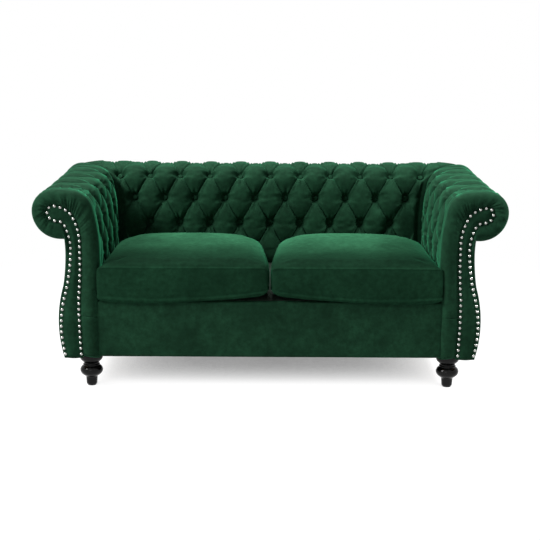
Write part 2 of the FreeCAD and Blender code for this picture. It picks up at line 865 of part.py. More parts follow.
base_blocks = bundle("base_blocks", list(base_blanks))
front_rail_blank = box(
    "front_rail_blank",
    ("-Layout.inside_half - Sizes.border_wrap", "Layout.inside_half + Sizes.border_wrap"),
    ("Layout.frame_front", "Layout.frame_front + Sizes.rail_thickness"),
    frame_rise,
)
keep(cut("front_rail_notched", front_rail_blank, base_blocks), "front_rail")
back_rail_blank = box(
    "back_rail_blank",
    ("-Layout.wood_half", "Layout.wood_half"),
    ("Layout.rail_back", "Layout.back_inner"),
    frame_rise,
)
keep(cut("back_rail_notched", back_rail_blank, base_blocks), "back_rail")
side_rails = pair(
    "side_rail",
    ("Layout.wood_half - Sizes.rail_thickness", "Layout.wood_half"),
    ("Layout.frame_front + Sizes.rail_thickness", "Layout.rail_back"),
    ("Layout.arm_base_top", "Sizes.rail_top"),
)
posts = pair(
    "rear_post",
    ("Layout.panel_half - Sizes.post_gap - Sizes.post_size", "Layout.panel_half - Sizes.post_gap"),
    ("Layout.back_lining - Sizes.post_size", "Layout.back_lining"),
    ("Layout.arm_base_top", "Layout.top_rail_bottom"),
)
arm_top_rails = pair(
    "arm_top_rail",
    ("Layout.top_rail_start", "Layout.top_rail_end"),
    ("Layout.board_back", "Layout.top_rail_start + Layout.back_shift"),
    ("Layout.top_rail_bottom", "Layout.top_rail_top"),
)
back_top_rail = box(
    "back_top_rail",
    ("-Layout.top_rail_end", "Layout.top_rail_end"),
    ("Layout.top_rail_start + Layout.back_shift", "Layout.top_rail_end + Layout.back_shift"),
    ("Layout.top_rail_bottom", "Layout.top_rail_top"),
)
centre_brace = box(
    "centre_brace",
    ("-Sizes.brace_width / 2", "Sizes.brace_width / 2"),
    ("Layout.frame_front + Sizes.rail_thickness", "Layout.rail_back"),
    ("Sizes.frame_bottom", "Sizes.frame_bottom + Sizes.brace_thickness"),
)
for piece in side_rails + arm_top_rails + (back_top_rail, centre_brace):
    keep(piece, piece.Name)
keep(bundle("rear_posts_group", list(posts)), "rear_posts")

wood_line = level("wood_line")
shaped_pair("arm_front_board", arm_board(frame_front, level("board_back"), size("border_wrap")))
doc.recompute()


def centred(count, spacing):
    return [(number - (count - 1) / 2) * spacing for number in range(count)]


rib_half = size("rib_thickness") / 2
right_ribs = []
for depth in centred(int(size("arm_ribs")), size("arm_rib_spacing")):
    rib = arm_board(depth - rib_half, depth + rib_half, wood_line)
    right_ribs.append(rib.cut(arm_top_rails[1].Shape))
shaped_pair("arm_ribs", Part.makeCompound(right_ribs))


def back_rib(offset):
    place = across_back(offset)
    edges = layer_edges(place, wood_line, frame_bottom, tail_station)
    top = on_profile(tail_station, wood_line)
    corners = [top, (level("panel_half"), top[1]), (level("panel_half"), frame_bottom)]
    corners.append(on_profile(frame_bottom, wood_line))
    edges += [run(place, start, end) for start, end in zip(corners, corners[1:])]
    face = Part.Face(Part.Wire(edges))
    return face.extrude(Vector(size("rib_thickness"), 0, 0)).cut(back_top_rail.Shape)


rib_offsets = centred(int(size("back_ribs")), size("back_rib_spacing"))
back_rib_shapes = [back_rib(offset - rib_half) for offset in rib_offsets]
keep(shaped("back_ribs", Part.makeCompound(back_rib_shapes)), "back_ribs")

# Corner blocks inside the seat frame, each screwed to both rails
block_low = "Sizes.frame_bottom + Sizes.block_lift"
block_rise = (block_low, block_low + " + Sizes.block_height")
rail_face = "Layout.wood_half - Sizes.rail_thickness"
block_side = (rail_face + " - Sizes.block_size", rail_face)
front_span = ("Layout.board_back", "Layout.board_back + Sizes.block_size")
back_span = ("Layout.rail_back - Sizes.block_size", "Layout.rail_back")
blocks = list(pair("front_block", block_side, front_span, block_rise))
blocks += list(pair("back_block", block_side, back_span, block_rise))
keep(bundle("corner_blocks_group", blocks), "corner_blocks")
screw = turned(
    "screw",
    [
        ("0", "-Sizes.screw_length"),
        ("Sizes.screw_diameter / 2", "-Sizes.screw_length"),
        ("Sizes.screw_diameter / 2", "0"),
        ("Sizes.screw_head / 2", "0"),
        ("Sizes.screw_head / 2", "Sizes.screw_head_height"),
        ("0", "Sizes.screw_head_height"),
    ],
    {},
)
doc.recompute()
block_half = size("block_size") / 2
side_face = level("wood_half") - size("rail_thickness") - size("block_size")
block_middle = size("frame_bottom") + size("block_lift") + size("block_height") / 2
third = size("block_height") / 6
screw_places = []
for side in (-1, 1):
    for face, depth_way in ((level("board_back"), 1), (level("rail_back"), -1)):
        middle = Vector(side * (side_face + block_half), face + depth_way * block_half, 0)
        into_side = Vector(side * side_face, middle.y, block_middle + third)
        into_rail = Vector(middle.x, face + depth_way * size("block_size"), block_middle - third)
        screw_places.append(facing(into_side, Vector(-side, 0, 0)))
        screw_places.append(facing(into_rail, Vector(0, depth_way, 0)))
keep(shaped("frame_screws", copies(screw, screw_places)), "frame_screws")

# Seat deck: sinuous springs from rail to rail, hooked over clips, under a pad and its cloth
front_anchor = frame_front + size("rail_thickness") / 2
back_anchor = level("back_inner") - size("rail_thickness") / 2
spring_level = level("spring_level")


def spring_edges(centre):
    loops = round((back_anchor - front_anchor) / (2 * size("spring_loop")))
    loop = (back_anchor - front_anchor) / (2 * loops)
    half_bar = size("spring_bar") / 2
    edges = []
    for number in range(loops + 1):
        side = 1 if number % 2 == 0 else -1
        depth = front_anchor + 2 * loop * number
        start = Vector(centre - side * half_bar, depth, spring_level)
        end = Vector(centre + side * half_bar, depth, spring_level)
        edges.append(Part.LineSegment(start, end).toShape())
        if number < loops:
            slant = loop * math.sqrt(0.5)
            turn = Vector(end.x + side * loop, depth + loop, spring_level)
            low = Vector(end.x + side * slant, depth + loop - slant, spring_level)
            high = Vector(end.x + side * slant, depth + loop + slant, spring_level)
            far = Vector(end.x, depth + 2 * loop, spring_level)
            edges.append(Part.Arc(end, low, turn).toShape())
            edges.append(Part.Arc(turn, high, far).toShape())
    return edges


def spring(centre):
    path = Part.Wire(spring_edges(centre))
    start = Vector(centre - size("spring_bar") / 2, front_anchor, spring_level)
    ring = Part.Wire(Part.Circle(start, Vector(1, 0, 0), size("spring_wire") / 2).toShape())
    return path.makePipeShell([ring], True, False)


def clip(centre, depth, way):
    width, length, thickness = size("clip_width"), size("clip_length"), size("clip_thickness")
    corner = Vector(centre - width / 2, depth - length / 2, size("rail_top"))
    plate = Part.makeBox(width, length, thickness, corner)
    reach = size("spring_wire") / 2 + size("running_gap")
    lip_start = depth - reach - thickness if way < 0 else depth + reach
    lip_corner = Vector(corner.x, lip_start, corner.z)
    return plate.fuse(Part.makeBox(width, thickness, thickness + size("spring_wire"), lip_corner))


seat_middle = inside_half / 2
spring_offsets = centred(int(size("springs_each_seat")), size("spring_spacing"))
spring_centres = [side * seat_middle + offset for side in (-1, 1) for offset in spring_offsets]
keep(shaped("seat_springs", Part.makeCompound([spring(centre) for centre in spring_centres])), "seat_springs")
clips = [clip(centre, front_anchor, -1) for centre in spring_centres]
clips += [clip(centre, back_anchor, 1) for centre in spring_centres]
keep(shaped("spring_clips", Part.makeCompound(clips)), "spring_clips")
deck_half = "Layout.inside_half + Sizes.border_wrap - Sizes.running_gap"
deck_x = (f"-({deck_half})", deck_half)
deck_y = ("Layout.frame_front", "Layout.back_inner - Sizes.running_gap")
pad_top = "Layout.deck_bottom + Sizes.deck_pad_thickness"
keep(box("deck_pad", deck_x, deck_y, ("Layout.deck_bottom", pad_top)), "deck_pad")
keep(box("deck_cover", deck_x, deck_y, (pad_top, "Layout.deck_top")), "deck_cover")
dust_cover = box(
    "dust_cover",
    ("-Layout.arm_base_inner", "Layout.arm_base_inner"),
    ("Layout.frame_front", "Layout.back_lining"),
    ("Sizes.frame_bottom - Sizes.dust_cloth", "Sizes.frame_bottom"),
)
keep(dust_cover, "dust_cover")

# The padded cover of the front rail, rounded along its front edges
rail_cover = doc.addObject("PartDesign::Body", "rail_cover")
cover_half = "Layout.inside_half - Sizes.running_gap"
cover_rise = "Layout.deck_top - Sizes.frame_bottom"
cover_left = f"-({cover_half})"
cover_corners = [(cover_left, "0"), (cover_half, "0"), (cover_half, cover_rise), (cover_left, cover_rise)]
cover_pad = rail_cover.newObject("PartDesign::Pad", "rail_cover_padding")
cover_pad.Profile = outline_sketch(rail_cover, "rail_cover_outline", cover_corners, {})
cover_pad.setExpression("Length", "Sizes.rail_cover_thickness")
rail_cover.setExpression("Placement.Base.y", "Layout.frame_front")
rail_cover.setExpression("Placement.Base.z", "Sizes.frame_bottom")
doc.recompute()
front_edges = []
for number, edge in enumerate(cover_pad.Shape.Edges, start=1):
    if all(abs(vertex.Y + size("rail_cover_thickness")) < 1e-6 for vertex in edge.Vertexes):
        front_edges.append(f"Edge{number}")
cover_edge = rail_cover.newObject("PartDesign::Fillet", "rail_cover_edge")
cover_edge.Base = (cover_pad, front_edges)
cover_edge.setExpression("Radius", "Sizes.rail_cover_round")
keep(rail_cover, "front_rail_cover")

# Seat cushions: bulged boxing, drawn-in sides and a crowned top, as rounded outlines stacked upwards
cushion_low = (level("cushion_inner"), front)
cushion_high = (level("cushion_outer"), level("cushion_back"))


def cushion_outline(inset, height):
    x_low, y_low = [value + inset for value in cushion_low]
    x_high, y_high = [value - inset for value in cushion_high]
    x_middle, y_middle = (x_low + x_high) / 2, (y_low + y_high) / 2
    corner = min(size("cushion_corner") + inset * 0.5, (x_high - x_low) * 0.42, (y_high - y_low) * 0.42)
    cut_in = corner * (1 - math.sqrt(0.5))
    draw_in = size("cushion_draw_in")
    front_draw_in = size("cushion_front_draw_in")

    def mark(across, along):
        return Vector(across, along, height)

    def arc(*marks):
        return Part.Arc(*[mark(*position) for position in marks]).toShape()

    back_ends = (mark(x_high - corner, y_high), mark(x_low + corner, y_high))
    edges = [
        arc((x_low + corner, y_low), (x_middle, y_low + front_draw_in), (x_high - corner, y_low)),
        arc((x_high - corner, y_low), (x_high - cut_in, y_low + cut_in), (x_high, y_low + corner)),
        arc((x_high, y_low + corner), (x_high - draw_in, y_middle), (x_high, y_high - corner)),
        arc((x_high, y_high - corner), (x_high - cut_in, y_high - cut_in), (x_high - corner, y_high)),
        Part.LineSegment(*back_ends).toShape(),
        arc((x_low + corner, y_high), (x_low + cut_in, y_high - cut_in), (x_low, y_high - corner)),
        arc((x_low, y_high - corner), (x_low + draw_in, y_middle), (x_low, y_low + corner)),
        arc((x_low, y_low + corner), (x_low + cut_in, y_low + cut_in), (x_low + corner, y_low)),
    ]
    return Part.Wire(edges)


def cushion_form(skin):
    seam = size("cushion_seam_height")
    bulge = size("cushion_bulge")
    rim = size("cushion_rim")
    flat = size("zip_width") / 2 + 2
    steps = [(0, bulge + rim), (rim / 2, bulge), (seam / 2 - flat, 0), (seam / 2 + flat, 0)]
    steps += [(seam - rim / 2, bulge), (seam, bulge / 2)]
    half_depth = (cushion_high[1] - cushion_low[1]) / 2
    for share in (0.06, 0.17, 0.32, 0.5, 0.73, 1):
        inset = (half_depth - size("cushion_top_flat")) * share
        rise = 1 - (1 - inset / half_depth) ** 2
        steps.append((seam + size("cushion_crown") * rise, inset + bulge / 2))
    total = steps[-1][0]
    wires = []
    for height, inset in steps:
        squeezed = skin + height * (total - 2 * skin) / total
        wires.append(cushion_outline(inset + skin, level("seat_line") + squeezed))
    return ruled_solid(wires)


zip_span = ("Layout.cushion_middle - Sizes.zip_length / 2", "Layout.cushion_middle + Sizes.zip_length / 2")
zip_depth = ("Layout.cushion_back - Sizes.zip_thickness", "Layout.cushion_back")
zip_rise = ("Layout.zip_level - Sizes.zip_width / 2", "Layout.zip_level + Sizes.zip_width / 2")
zips = pair("cushion_zip", zip_span, zip_depth, zip_rise)
doc.recompute()
cushion_cover = cushion_form(0).cut(cushion_form(size("cushion_cloth"))).cut(zips[1].Shape)
shaped_pair("cushion_cover", cushion_cover)
shaped_pair("cushion_core", cushion_form(size("cushion_cloth") + size("running_gap")))
for piece in zips:
    keep(piece, piece.Name)

# Zip sliders with hanging pulls, at the start of their zips
slider_start = "Layout.cushion_middle - Sizes.zip_length / 2"
slider_depth = "Layout.cushion_back + Sizes.running_gap"
slider_bottom = "Layout.zip_level - Sizes.slider_width / 2"
slider_bodies = pair(
    "slider_body",
    (slider_start, slider_start + " + Sizes.slider_length"),
    (slider_depth, slider_depth + " + Sizes.slider_thickness"),
    (slider_bottom, "Layout.zip_level + Sizes.slider_width / 2"),
)
pull_start = slider_start + " + (Sizes.slider_length - Sizes.pull_width) / 2"
pull_depth = slider_depth + " + (Sizes.slider_thickness - Sizes.pull_thickness) / 2"
pulls = pair(
    "slider_pull",
    (pull_start, pull_start + " + Sizes.pull_width"),
    (pull_depth, pull_depth + " + Sizes.pull_thickness"),
    (slider_bottom + " - Sizes.pull_length", slider_bottom + " + Sizes.running_gap"),
)
for side, slider_body, pull in zip(("left", "right"), slider_bodies, pulls):
    slider = doc.addObject("Part::Fuse", side + "_slider_fused")
    slider.Base = slider_body
    slider.Tool = pull
    keep(slider, side + "_zip_slider")

# Turned feet, each on a hanger bolt that screws into an insert in the arm base
foot_corners = [
    ("0", "Sizes.glide_height"),
    ("Sizes.toe_diameter / 2", "Sizes.glide_height"),
    ("Sizes.stem_diameter / 2", "Layout.ball_bottom"),
    ("Sizes.groove_diameter / 2", "Layout.ball_top"),
    ("Sizes.groove_diameter / 2", "Layout.collar_low"),
    ("Sizes.collar_diameter / 2", "Sizes.frame_bottom - Sizes.collar_rim"),
    ("Sizes.collar_diameter / 2", "Sizes.frame_bottom"),
    ("Sizes.bolt_diameter / 2 + Sizes.bore_gap", "Sizes.frame_bottom"),
    ("Sizes.bolt_diameter / 2 + Sizes.bore_gap", "Sizes.frame_bottom - Sizes.bolt_depth"),
    ("0", "Sizes.frame_bottom - Sizes.bolt_depth"),
]
bolts, inserts, glides = [], [], []
for corner, centre in foot_centres.items():
    foot = turned(corner + "_foot", foot_corners, {2: "Layout.ball_bow"})
    foot.setExpression("Placement.Base.x", centre[0])
    foot.setExpression("Placement.Base.y", centre[1])
    keep(foot, corner + "_foot")
    bolt_low = "Sizes.frame_bottom - Sizes.bolt_depth"
    bolts.append(rod(corner + "_bolt", "Sizes.bolt_diameter", centre, bolt_low, "Layout.arm_base_top"))
    span = ("Sizes.frame_bottom", "Layout.arm_base_top")
    shell = rod(corner + "_insert_body", "Sizes.insert_diameter", centre, *span)
    bore = rod(corner + "_insert_bore", "Sizes.bolt_diameter + 2 * Sizes.bore_gap", centre, *span)
    inserts.append(cut(corner + "_insert", shell, bore))
    glides.append(rod(corner + "_glide", "Sizes.glide_diameter", centre, "0", "Sizes.glide_height"))
keep(bundle("foot_bolts_group", bolts), "foot_bolts")
keep(bundle("foot_inserts_group", inserts), "foot_inserts")
keep(bundle("foot_glides_group", glides), "foot_glides")

doc.recompute()
faults = [item.Name for item in doc.Objects if "Invalid" in item.State or "Error" in item.State]
faults += [node.Label for node in nodes if node.Shape.isNull() or not node.Shape.isValid()]
if faults:
    raise RuntimeError("not built: " + ", ".join(faults))
os.makedirs("parts", exist_ok=True)
for node in nodes:
    node.Shape.exportStep(f"parts/{node.Label}.step")
print(len(nodes), "nodes written")
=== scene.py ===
import math

import bmesh
import bpy
import numpy as np
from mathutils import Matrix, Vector


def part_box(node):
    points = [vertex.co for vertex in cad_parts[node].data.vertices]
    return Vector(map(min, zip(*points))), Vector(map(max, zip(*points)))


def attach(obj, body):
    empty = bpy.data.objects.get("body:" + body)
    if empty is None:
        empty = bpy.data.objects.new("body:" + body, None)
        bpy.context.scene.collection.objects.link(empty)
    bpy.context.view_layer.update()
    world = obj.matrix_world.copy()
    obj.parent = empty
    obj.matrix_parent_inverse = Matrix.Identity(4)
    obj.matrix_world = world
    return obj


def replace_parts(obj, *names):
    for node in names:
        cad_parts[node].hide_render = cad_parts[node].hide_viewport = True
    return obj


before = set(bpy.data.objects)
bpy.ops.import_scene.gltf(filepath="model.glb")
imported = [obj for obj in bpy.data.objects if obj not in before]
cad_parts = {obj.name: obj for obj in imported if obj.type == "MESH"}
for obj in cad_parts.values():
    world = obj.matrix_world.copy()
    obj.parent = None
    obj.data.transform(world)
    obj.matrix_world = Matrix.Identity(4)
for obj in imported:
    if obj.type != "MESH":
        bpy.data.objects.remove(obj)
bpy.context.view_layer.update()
mm = 0.001
scene = bpy.context.scene
print("loveseat: packed model loaded")

# Camera at the photograph's place, looking a little down
cameraView = {
    "lensMm": 83.07,
    "filmMm": 36,
    "farEnd": 60,
    "place": (-0.005, -4.4435, 1.290),
    "downDegrees": 12.29,
    "rollDegrees": -0.32,
}
cameraData = bpy.data.cameras.new("camera")
cameraData.lens = cameraView["lensMm"]
cameraData.sensor_width = cameraView["filmMm"]
cameraData.clip_end = cameraView["farEnd"]
cameraObject = bpy.data.objects.new("camera", cameraData)
cameraObject.location = cameraView["place"]
lookUp = math.radians(90 - cameraView["downDegrees"])
cameraObject.rotation_euler = (lookUp, math.radians(cameraView["rollDegrees"]), 0)
scene.collection.objects.link(cameraObject)
scene.camera = cameraObject
scene.view_settings.view_transform = "Standard"


# Small tools for meshes
def smoothStep(value, low, high):
    share = np.clip((np.asarray(value, dtype=float) - low) / (high - low), 0, 1)
    return share * share * (3 - 2 * share)


def bellCurve(value, middle, width):
    return np.exp(-(((value - middle) / width) ** 2))


def closerAtEnds(cells, share):
    even = np.linspace(-1, 1, cells + 1)
    return share * np.sin(0.5 * math.pi * even) + (1 - share) * even


def pointsOf(*axes):
    return np.stack(np.broadcast_arrays(*axes), axis=-1)


def boxMm(node):
    return [[1000 * c for c in corner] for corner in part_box(node)]


def makePiece(name, points, faces, material, body="frame", smooth=True):
    mesh = bpy.data.meshes.new(name)
    mesh.from_pydata([tuple(map(float, p)) for p in points], [], faces)
    work = bmesh.new()
    work.from_mesh(mesh)
    bmesh.ops.recalc_face_normals(work, faces=work.faces)
    work.to_mesh(mesh)
    work.free()
    mesh.materials.append(material)
    mesh.polygons.foreach_set("use_smooth", [smooth] * len(mesh.polygons))
    piece = bpy.data.objects.new(name, mesh)
    scene.collection.objects.link(piece)
    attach(piece, body)
    return piece


def ringFaces(count, size, first=0, capped=True):
    # Faces that join closed sections of one size, numbered one after another
    faces = []
    for near in range(first, first + (count - 1) * size, size):
        for k in range(size):
            nextK = (k + 1) % size
            faces.append((near + k, near + nextK, near + size + nextK, near + size + k))
    if capped:
        lastRing = first + (count - 1) * size
        faces += [tuple(range(first, first + size)), tuple(range(lastRing, lastRing + size))]
    return faces


def gridFaces(rows, columns, first=0, turned=False):
    faces = []
    for i in range(rows - 1):
        for j in range(columns - 1):
            n = first + i * columns + j
            corners = (n, n + columns, n + columns + 1, n + 1)
            faces.append((n,) + corners[:0:-1] if turned else corners)
    return faces


def gridRim(rows, columns):
    # The numbers round the edge of a grid, in order
    rim = [i * columns for i in range(rows)] + [(rows - 1) * columns + j for j in range(1, columns)]
    rim += [i * columns + columns - 1 for i in range(rows - 2, -1, -1)]
    return rim + list(range(columns - 2, 0, -1))


def wallFaces(upper, lower):
    following = [*range(1, len(upper)), 0]
    return [(upper[k], upper[m], lower[m], lower[k]) for k, m in enumerate(following)]


def loftPiece(name, rings, material):
    # rings is an array of closed sections, all with the same count of points
    return makePiece(name, rings.reshape(-1, 3), ringFaces(*rings.shape[:2]), material)


# Small tools for materials
def hexLinear(text):
    parts = [int(text[i : i + 2], 16) / 255 for i in (1, 3, 5)]
    return [p / 12.92 if p <= 0.04045 else ((p + 0.055) / 1.055) ** 2.4 for p in parts] + [1.0]


def setInputs(tree, node, inputs):
    for key, value in inputs.items():
        if isinstance(value, bpy.types.NodeSocket):
            tree.links.new(value, node.inputs[key])
        else:
            node.inputs[key].default_value = value


def addNode(tree, kind, inputs, **settings):
    node = tree.nodes.new(kind)
    for key, value in settings.items():
        setattr(node, key, value)
    setInputs(tree, node, inputs)
    return node


def mathOf(tree, operation, first, second):
    return addNode(tree, "ShaderNodeMath", {0: first, 1: second}, operation=operation).outputs[0]


def rangeOf(tree, value, low, high, newLow=0.0, newHigh=1.0):
    return addNode(tree, "ShaderNodeMapRange", {0: value, 1: low, 2: high, 3: newLow, 4: newHigh}).outputs[0]


def noiseOf(tree, place, grainMm, detail, roughness=0.5):
    inputs = {"Vector": place, "Scale": 1 / (grainMm * mm), "Detail": detail, "Roughness": roughness}
    return addNode(tree, "ShaderNodeTexNoise", inputs).outputs["Fac"]


def shadesOf(tree, amount, dark, light, low=0.0, high=1.0):
    ramp = addNode(tree, "ShaderNodeValToRGB", {"Fac": amount})
    stops = ramp.color_ramp.elements
    stops[0].color, stops[0].position = hexLinear(dark), low
    stops[1].color, stops[1].position = hexLinear(light), high
    return ramp.outputs[0]


def bumpOf(tree, height, strength, deepMm, **more):
    inputs = {"Height": height, "Strength": strength, "Distance": deepMm * mm, **more}
    return addNode(tree, "ShaderNodeBump", inputs).outputs[0]


def newMaterial(name):
    material = bpy.data.materials.new(name)
    material.use_nodes = True
    tree = material.node_tree
    shader = [n for n in tree.nodes if n.type == "BSDF_PRINCIPLED"][0]
    place = addNode(tree, "ShaderNodeTexCoord", {}).outputs["Object"]
    return material, tree, shader, place


velvetLook = {
    "shade": "#10291b",  # pile laid away from the eye
    "light": "#1b3d2a",  # pile laid towards the eye
    "sheen": "#3aab78",
    "sheenWeight": 0.58,
    "sheenRoughness": 0.30,
    "roughness": 0.85,
    "specular": 0.04,
    "napPatchMm": 95,  # a hand's stroke
    "crushMm": 17,
    "pileMm": 2.4,  # the pile is 0.3 mm, drawn coarser so that it shows
    "split": (0.12, 0.42),
}


def cottonVelvet(name, look, seed):
    # Cotton velvet, cut pile: dark where it is seen along the pile, light where the pile ends catch the light
    material, tree, shader, place = newMaterial(name)
    shift = (seed, seed * 2.7, seed * 1.3)
    shifted = addNode(tree, "ShaderNodeVectorMath", {0: place, 1: shift}, operation="ADD").outputs[0]
    nap = noiseOf(tree, shifted, look["napPatchMm"], 3.0, 0.55)
    crush = noiseOf(tree, shifted, look["crushMm"], 4.0, 0.6)
    pile = noiseOf(tree, shifted, look["pileMm"], 2.0)
    colour = shadesOf(tree, mathOf(tree, "MULTIPLY", nap, crush), look["shade"], look["light"], *look["split"])
    # Painted sheen and shade: a curve along the object's Y scales the colour, darker over the front of the top and
    # paler towards the back
    if "paintedSheenCurvePoints" in look:
        split = addNode(tree, "ShaderNodeSeparateXYZ", {0: place})
        along = rangeOf(tree, split.outputs["Y"], look["paintedSheenFromY"], look["paintedSheenToY"])
        paintedSheenCurve = addNode(tree, "ShaderNodeFloatCurve", {"Value": along})
        curve = paintedSheenCurve.mapping.curves[0]
        curve.points[0].location, curve.points[1].location = look["paintedSheenCurvePoints"][0], look["paintedSheenCurvePoints"][-1]
        for spot in look["paintedSheenCurvePoints"][1:-1]:
            curve.points.new(*spot)
        paintedSheenCurve.mapping.update()
        paintedSheenScale = {0: colour, "Scale": mathOf(tree, "MULTIPLY", paintedSheenCurve.outputs[0], look["paintedSheenGain"])}
        colour = addNode(tree, "ShaderNodeVectorMath", paintedSheenScale, operation="SCALE").outputs[0]
    sockets = {
        "Base Color": colour,
        "Roughness": look["roughness"],
        "Specular IOR Level": look["specular"],
        "Sheen Weight": look["sheenWeight"],
        "Sheen Roughness": look["sheenRoughness"],
        "Sheen Tint": hexLinear(look["sheen"]),
        "Normal": bumpOf(tree, crush, 0.3, 2, Normal=bumpOf(tree, pile, 0.35, 0.5)),
    }
    setInputs(tree, shader, sockets)
    return material


bodyVelvet = cottonVelvet("cottonVelvetBody", velvetLook, 0.0)
# On the cushions the colour carries painted sheen and shade along the object's Y: darker just behind the front edge,
# paler towards the back, in place of the velvet's sheen at grazing view
cushionLook = {
    **velvetLook,
    "napPatchMm": 160,
    "sheenWeight": 0.2,
    "specular": 0.01,
    "paintedSheenFromY": -0.43,
    "paintedSheenToY": 0.1,
    "paintedSheenGain": 2.6,
    "paintedSheenCurvePoints": (
        (0.0, 0.365), (0.006, 0.365), (0.02, 0.26), (0.05, 0.20),
        (0.15, 0.205), (0.28, 0.30), (0.55, 0.63), (1.0, 1.0),
    ),
}
cushionVelvet = cottonVelvet("cottonVelvetCushion", cushionLook, 3.1)


def speckled(name, dark, light, grainMm, bumpMm, sockets, stretch=(1, 1, 1)):
    # A base for plain finishes: two close shades in a grain of real size, and a bump of the same grain
    material, tree, shader, place = newMaterial(name)
    scaled = addNode(tree, "ShaderNodeMapping", {"Vector": place, "Scale": stretch}).outputs[0]
    grain = noiseOf(tree, scaled, grainMm, 4.0, 0.6)
    colour = shadesOf(tree, grain, dark, light, 0.3, 0.7)
    setInputs(tree, shader, {"Base Color": colour, "Normal": bumpOf(tree, grain, 0.5, bumpMm), **sockets})
    return material


# Turned beech under sprayed black lacquer: a deep gloss with sharp, narrow lights
gloss = {"Roughness": 0.22, "Specular IOR Level": 0.1, "Coat Weight": 0.14, "Coat Roughness": 0.06}
blackLacquer = speckled("turnedBlackLacquer", "#050505", "#0a0a0a", 9, 0.06, gloss)
# Nickel plate on a stamped nail head: bright, with a soft blur from tumbling
nickelNail = speckled("stampedNickelNail", "#8f908c", "#bdbdb9", 2.2, 0.03, {"Roughness": 0.27, "Metallic": 1.0})
# Zinc plate on drawn wire and screws: dull grey, a little mottled
zincSteel = speckled("zincPlatedSteel", "#8f9295", "#b6b8ba", 6, 0.05, {"Roughness": 0.42, "Metallic": 1.0})
# Planed beech: pale, with long grain along the board
beech = ("#b98f5e", "#d8b483", 7, 0.25, {"Roughness": 0.55})
planedBeech = speckled("planedBeech", *beech, stretch=(0.12, 1, 1))
uprightBeech = speckled("planedBeechUpright", *beech, stretch=(1, 1, 0.12))
deepBeech = speckled("planedBeechDeep", *beech, stretch=(1, 0.12, 1))
# Polyurethane foam, cut: cream, open cells about 1 mm across
dryFoam = {"Roughness": 0.95, "Specular IOR Level": 0.2}
cutFoam = speckled("cutPolyurethaneFoam", "#d8cda6", "#efe6c6", 1.6, 0.8, dryFoam)
# Spun-bonded dust cloth: matt black with a fine random web
dryWeb = {"Roughness": 0.9, "Specular IOR Level": 0.2}
spunCloth = speckled("spunBondedDustCloth", "#0c0c0d", "#1d1d1f", 1.8, 0.2, dryWeb)
# Moulded nylon glide: dark grey, satin
mouldedNylon = speckled("mouldedNylon", "#1c1c1e", "#26262a", 1.2, 0.04, {"Roughness": 0.45})
# Die-cast slider, plated dark
castSlider = speckled("dieCastSlider", "#3b3f3c", "#5a5f5b", 1.5, 0.03, {"Roughness": 0.35, "Metallic": 1.0})


def wovenCloth(name, dark, light, threadMm):
    # Plain weave: sets of threads that cross, each one thread wide
    material, tree, shader, place = newMaterial(name)
    inputs = {"Vector": place, "Scale": 0.5 * math.pi / (threadMm * mm) / 10, "Distortion": 1.5, "Detail": 2.0}
    waves = [
        addNode(tree, "ShaderNodeTexWave", inputs, bands_direction=direction).outputs["Fac"]
        for direction in ("X", "Y", "Z")
    ]
    crossing = mathOf(tree, "ADD", mathOf(tree, "MULTIPLY", waves[0], waves[1]), waves[2])
    colour, relief = shadesOf(tree, crossing, dark, light), bumpOf(tree, crossing, 0.6, 0.6)
    setInputs(tree, shader, {"Base Color": colour, "Roughness": 0.9, "Normal": relief})
    return material


# Jute burlap, loosely woven: tan threads 2 mm apart
juteBurlap = wovenCloth("juteBurlap", "#7c6238", "#b59a68", 2.0)
# Cotton deck cloth, darker than the cover's green: painted shade for the gap between the cushions, where the deck
# shows; threads are 0.5 mm, drawn at 1.6 mm so that they show
deckCottonPaintedShade = wovenCloth("deckCottonPaintedShade", "#08180f", "#10281a", 1.6)
# Zip tape, woven polyester; threads drawn at 1 mm
zipTape = wovenCloth("zipTape", "#0d2417", "#1b3d29", 1.0)
print("loveseat: materials made")

# The line that the arms and the back follow: up the inside, over the roll and back under it
rollLine = {
    "insideHalf": 0.564,
    "straightTop": 0.457,
    "bends": ((0.650, 0, 14), (0.075, 14, 80), (0.400, 80, 90), (0.07148, 90, 180), (0.09352, 180, 270)),
    "backShift": -0.3555,
    "frontY": -0.4285,
    "borderDepth": 0.060,
    "lowStation": 0.3058,
    "tailStation": 1.0442,
    "coverThickness": 0.034,
}
sideSign = {"left": -1, "right": 1}


def alongRoll(station, inset=0.0):
    station = np.asarray(station, dtype=float)
    out = np.full_like(station, rollLine["insideHalf"])
    up = station.copy()
    tilt = np.zeros_like(station)
    start = rollLine["straightTop"]
    baseOut, baseUp = rollLine["insideHalf"], start
    for radius, first, last in rollLine["bends"]:
        first, last = math.radians(first), math.radians(last)
        angle = np.clip(first + (station - start) / radius, first, last)
        beyond = station > start
        out = np.where(beyond, baseOut + radius * (math.cos(first) - np.cos(angle)), out)
        up = np.where(beyond, baseUp + radius * (np.sin(angle) - math.sin(first)), up)
        tilt = np.where(beyond, angle, tilt)
        baseOut += radius * (math.cos(first) - math.cos(last))
        baseUp += radius * (math.sin(last) - math.sin(first))
        start += radius * (last - first)
    out = out - np.maximum(station - start, 0)
    return out + inset * np.cos(tilt), up - inset * np.sin(tilt)


def placeOnSofa(side, station, along, inset):
    # along is x for the back, and the depth y for an arm
    out, up = alongRoll(station, inset)
    if side == "back":
        return pointsOf(along, out + rollLine["backShift"], up)
    return pointsOf(sideSign[side] * out, along, up)


def sofaEnds(side, out):
    # A cover runs from mitre to mitre on the back, and from behind the border to the mitre on an arm
    if side == "back":
        return -out, out
    return np.full_like(out, rollLine["frontY"] + rollLine["borderDepth"]), out + rollLine["backShift"]


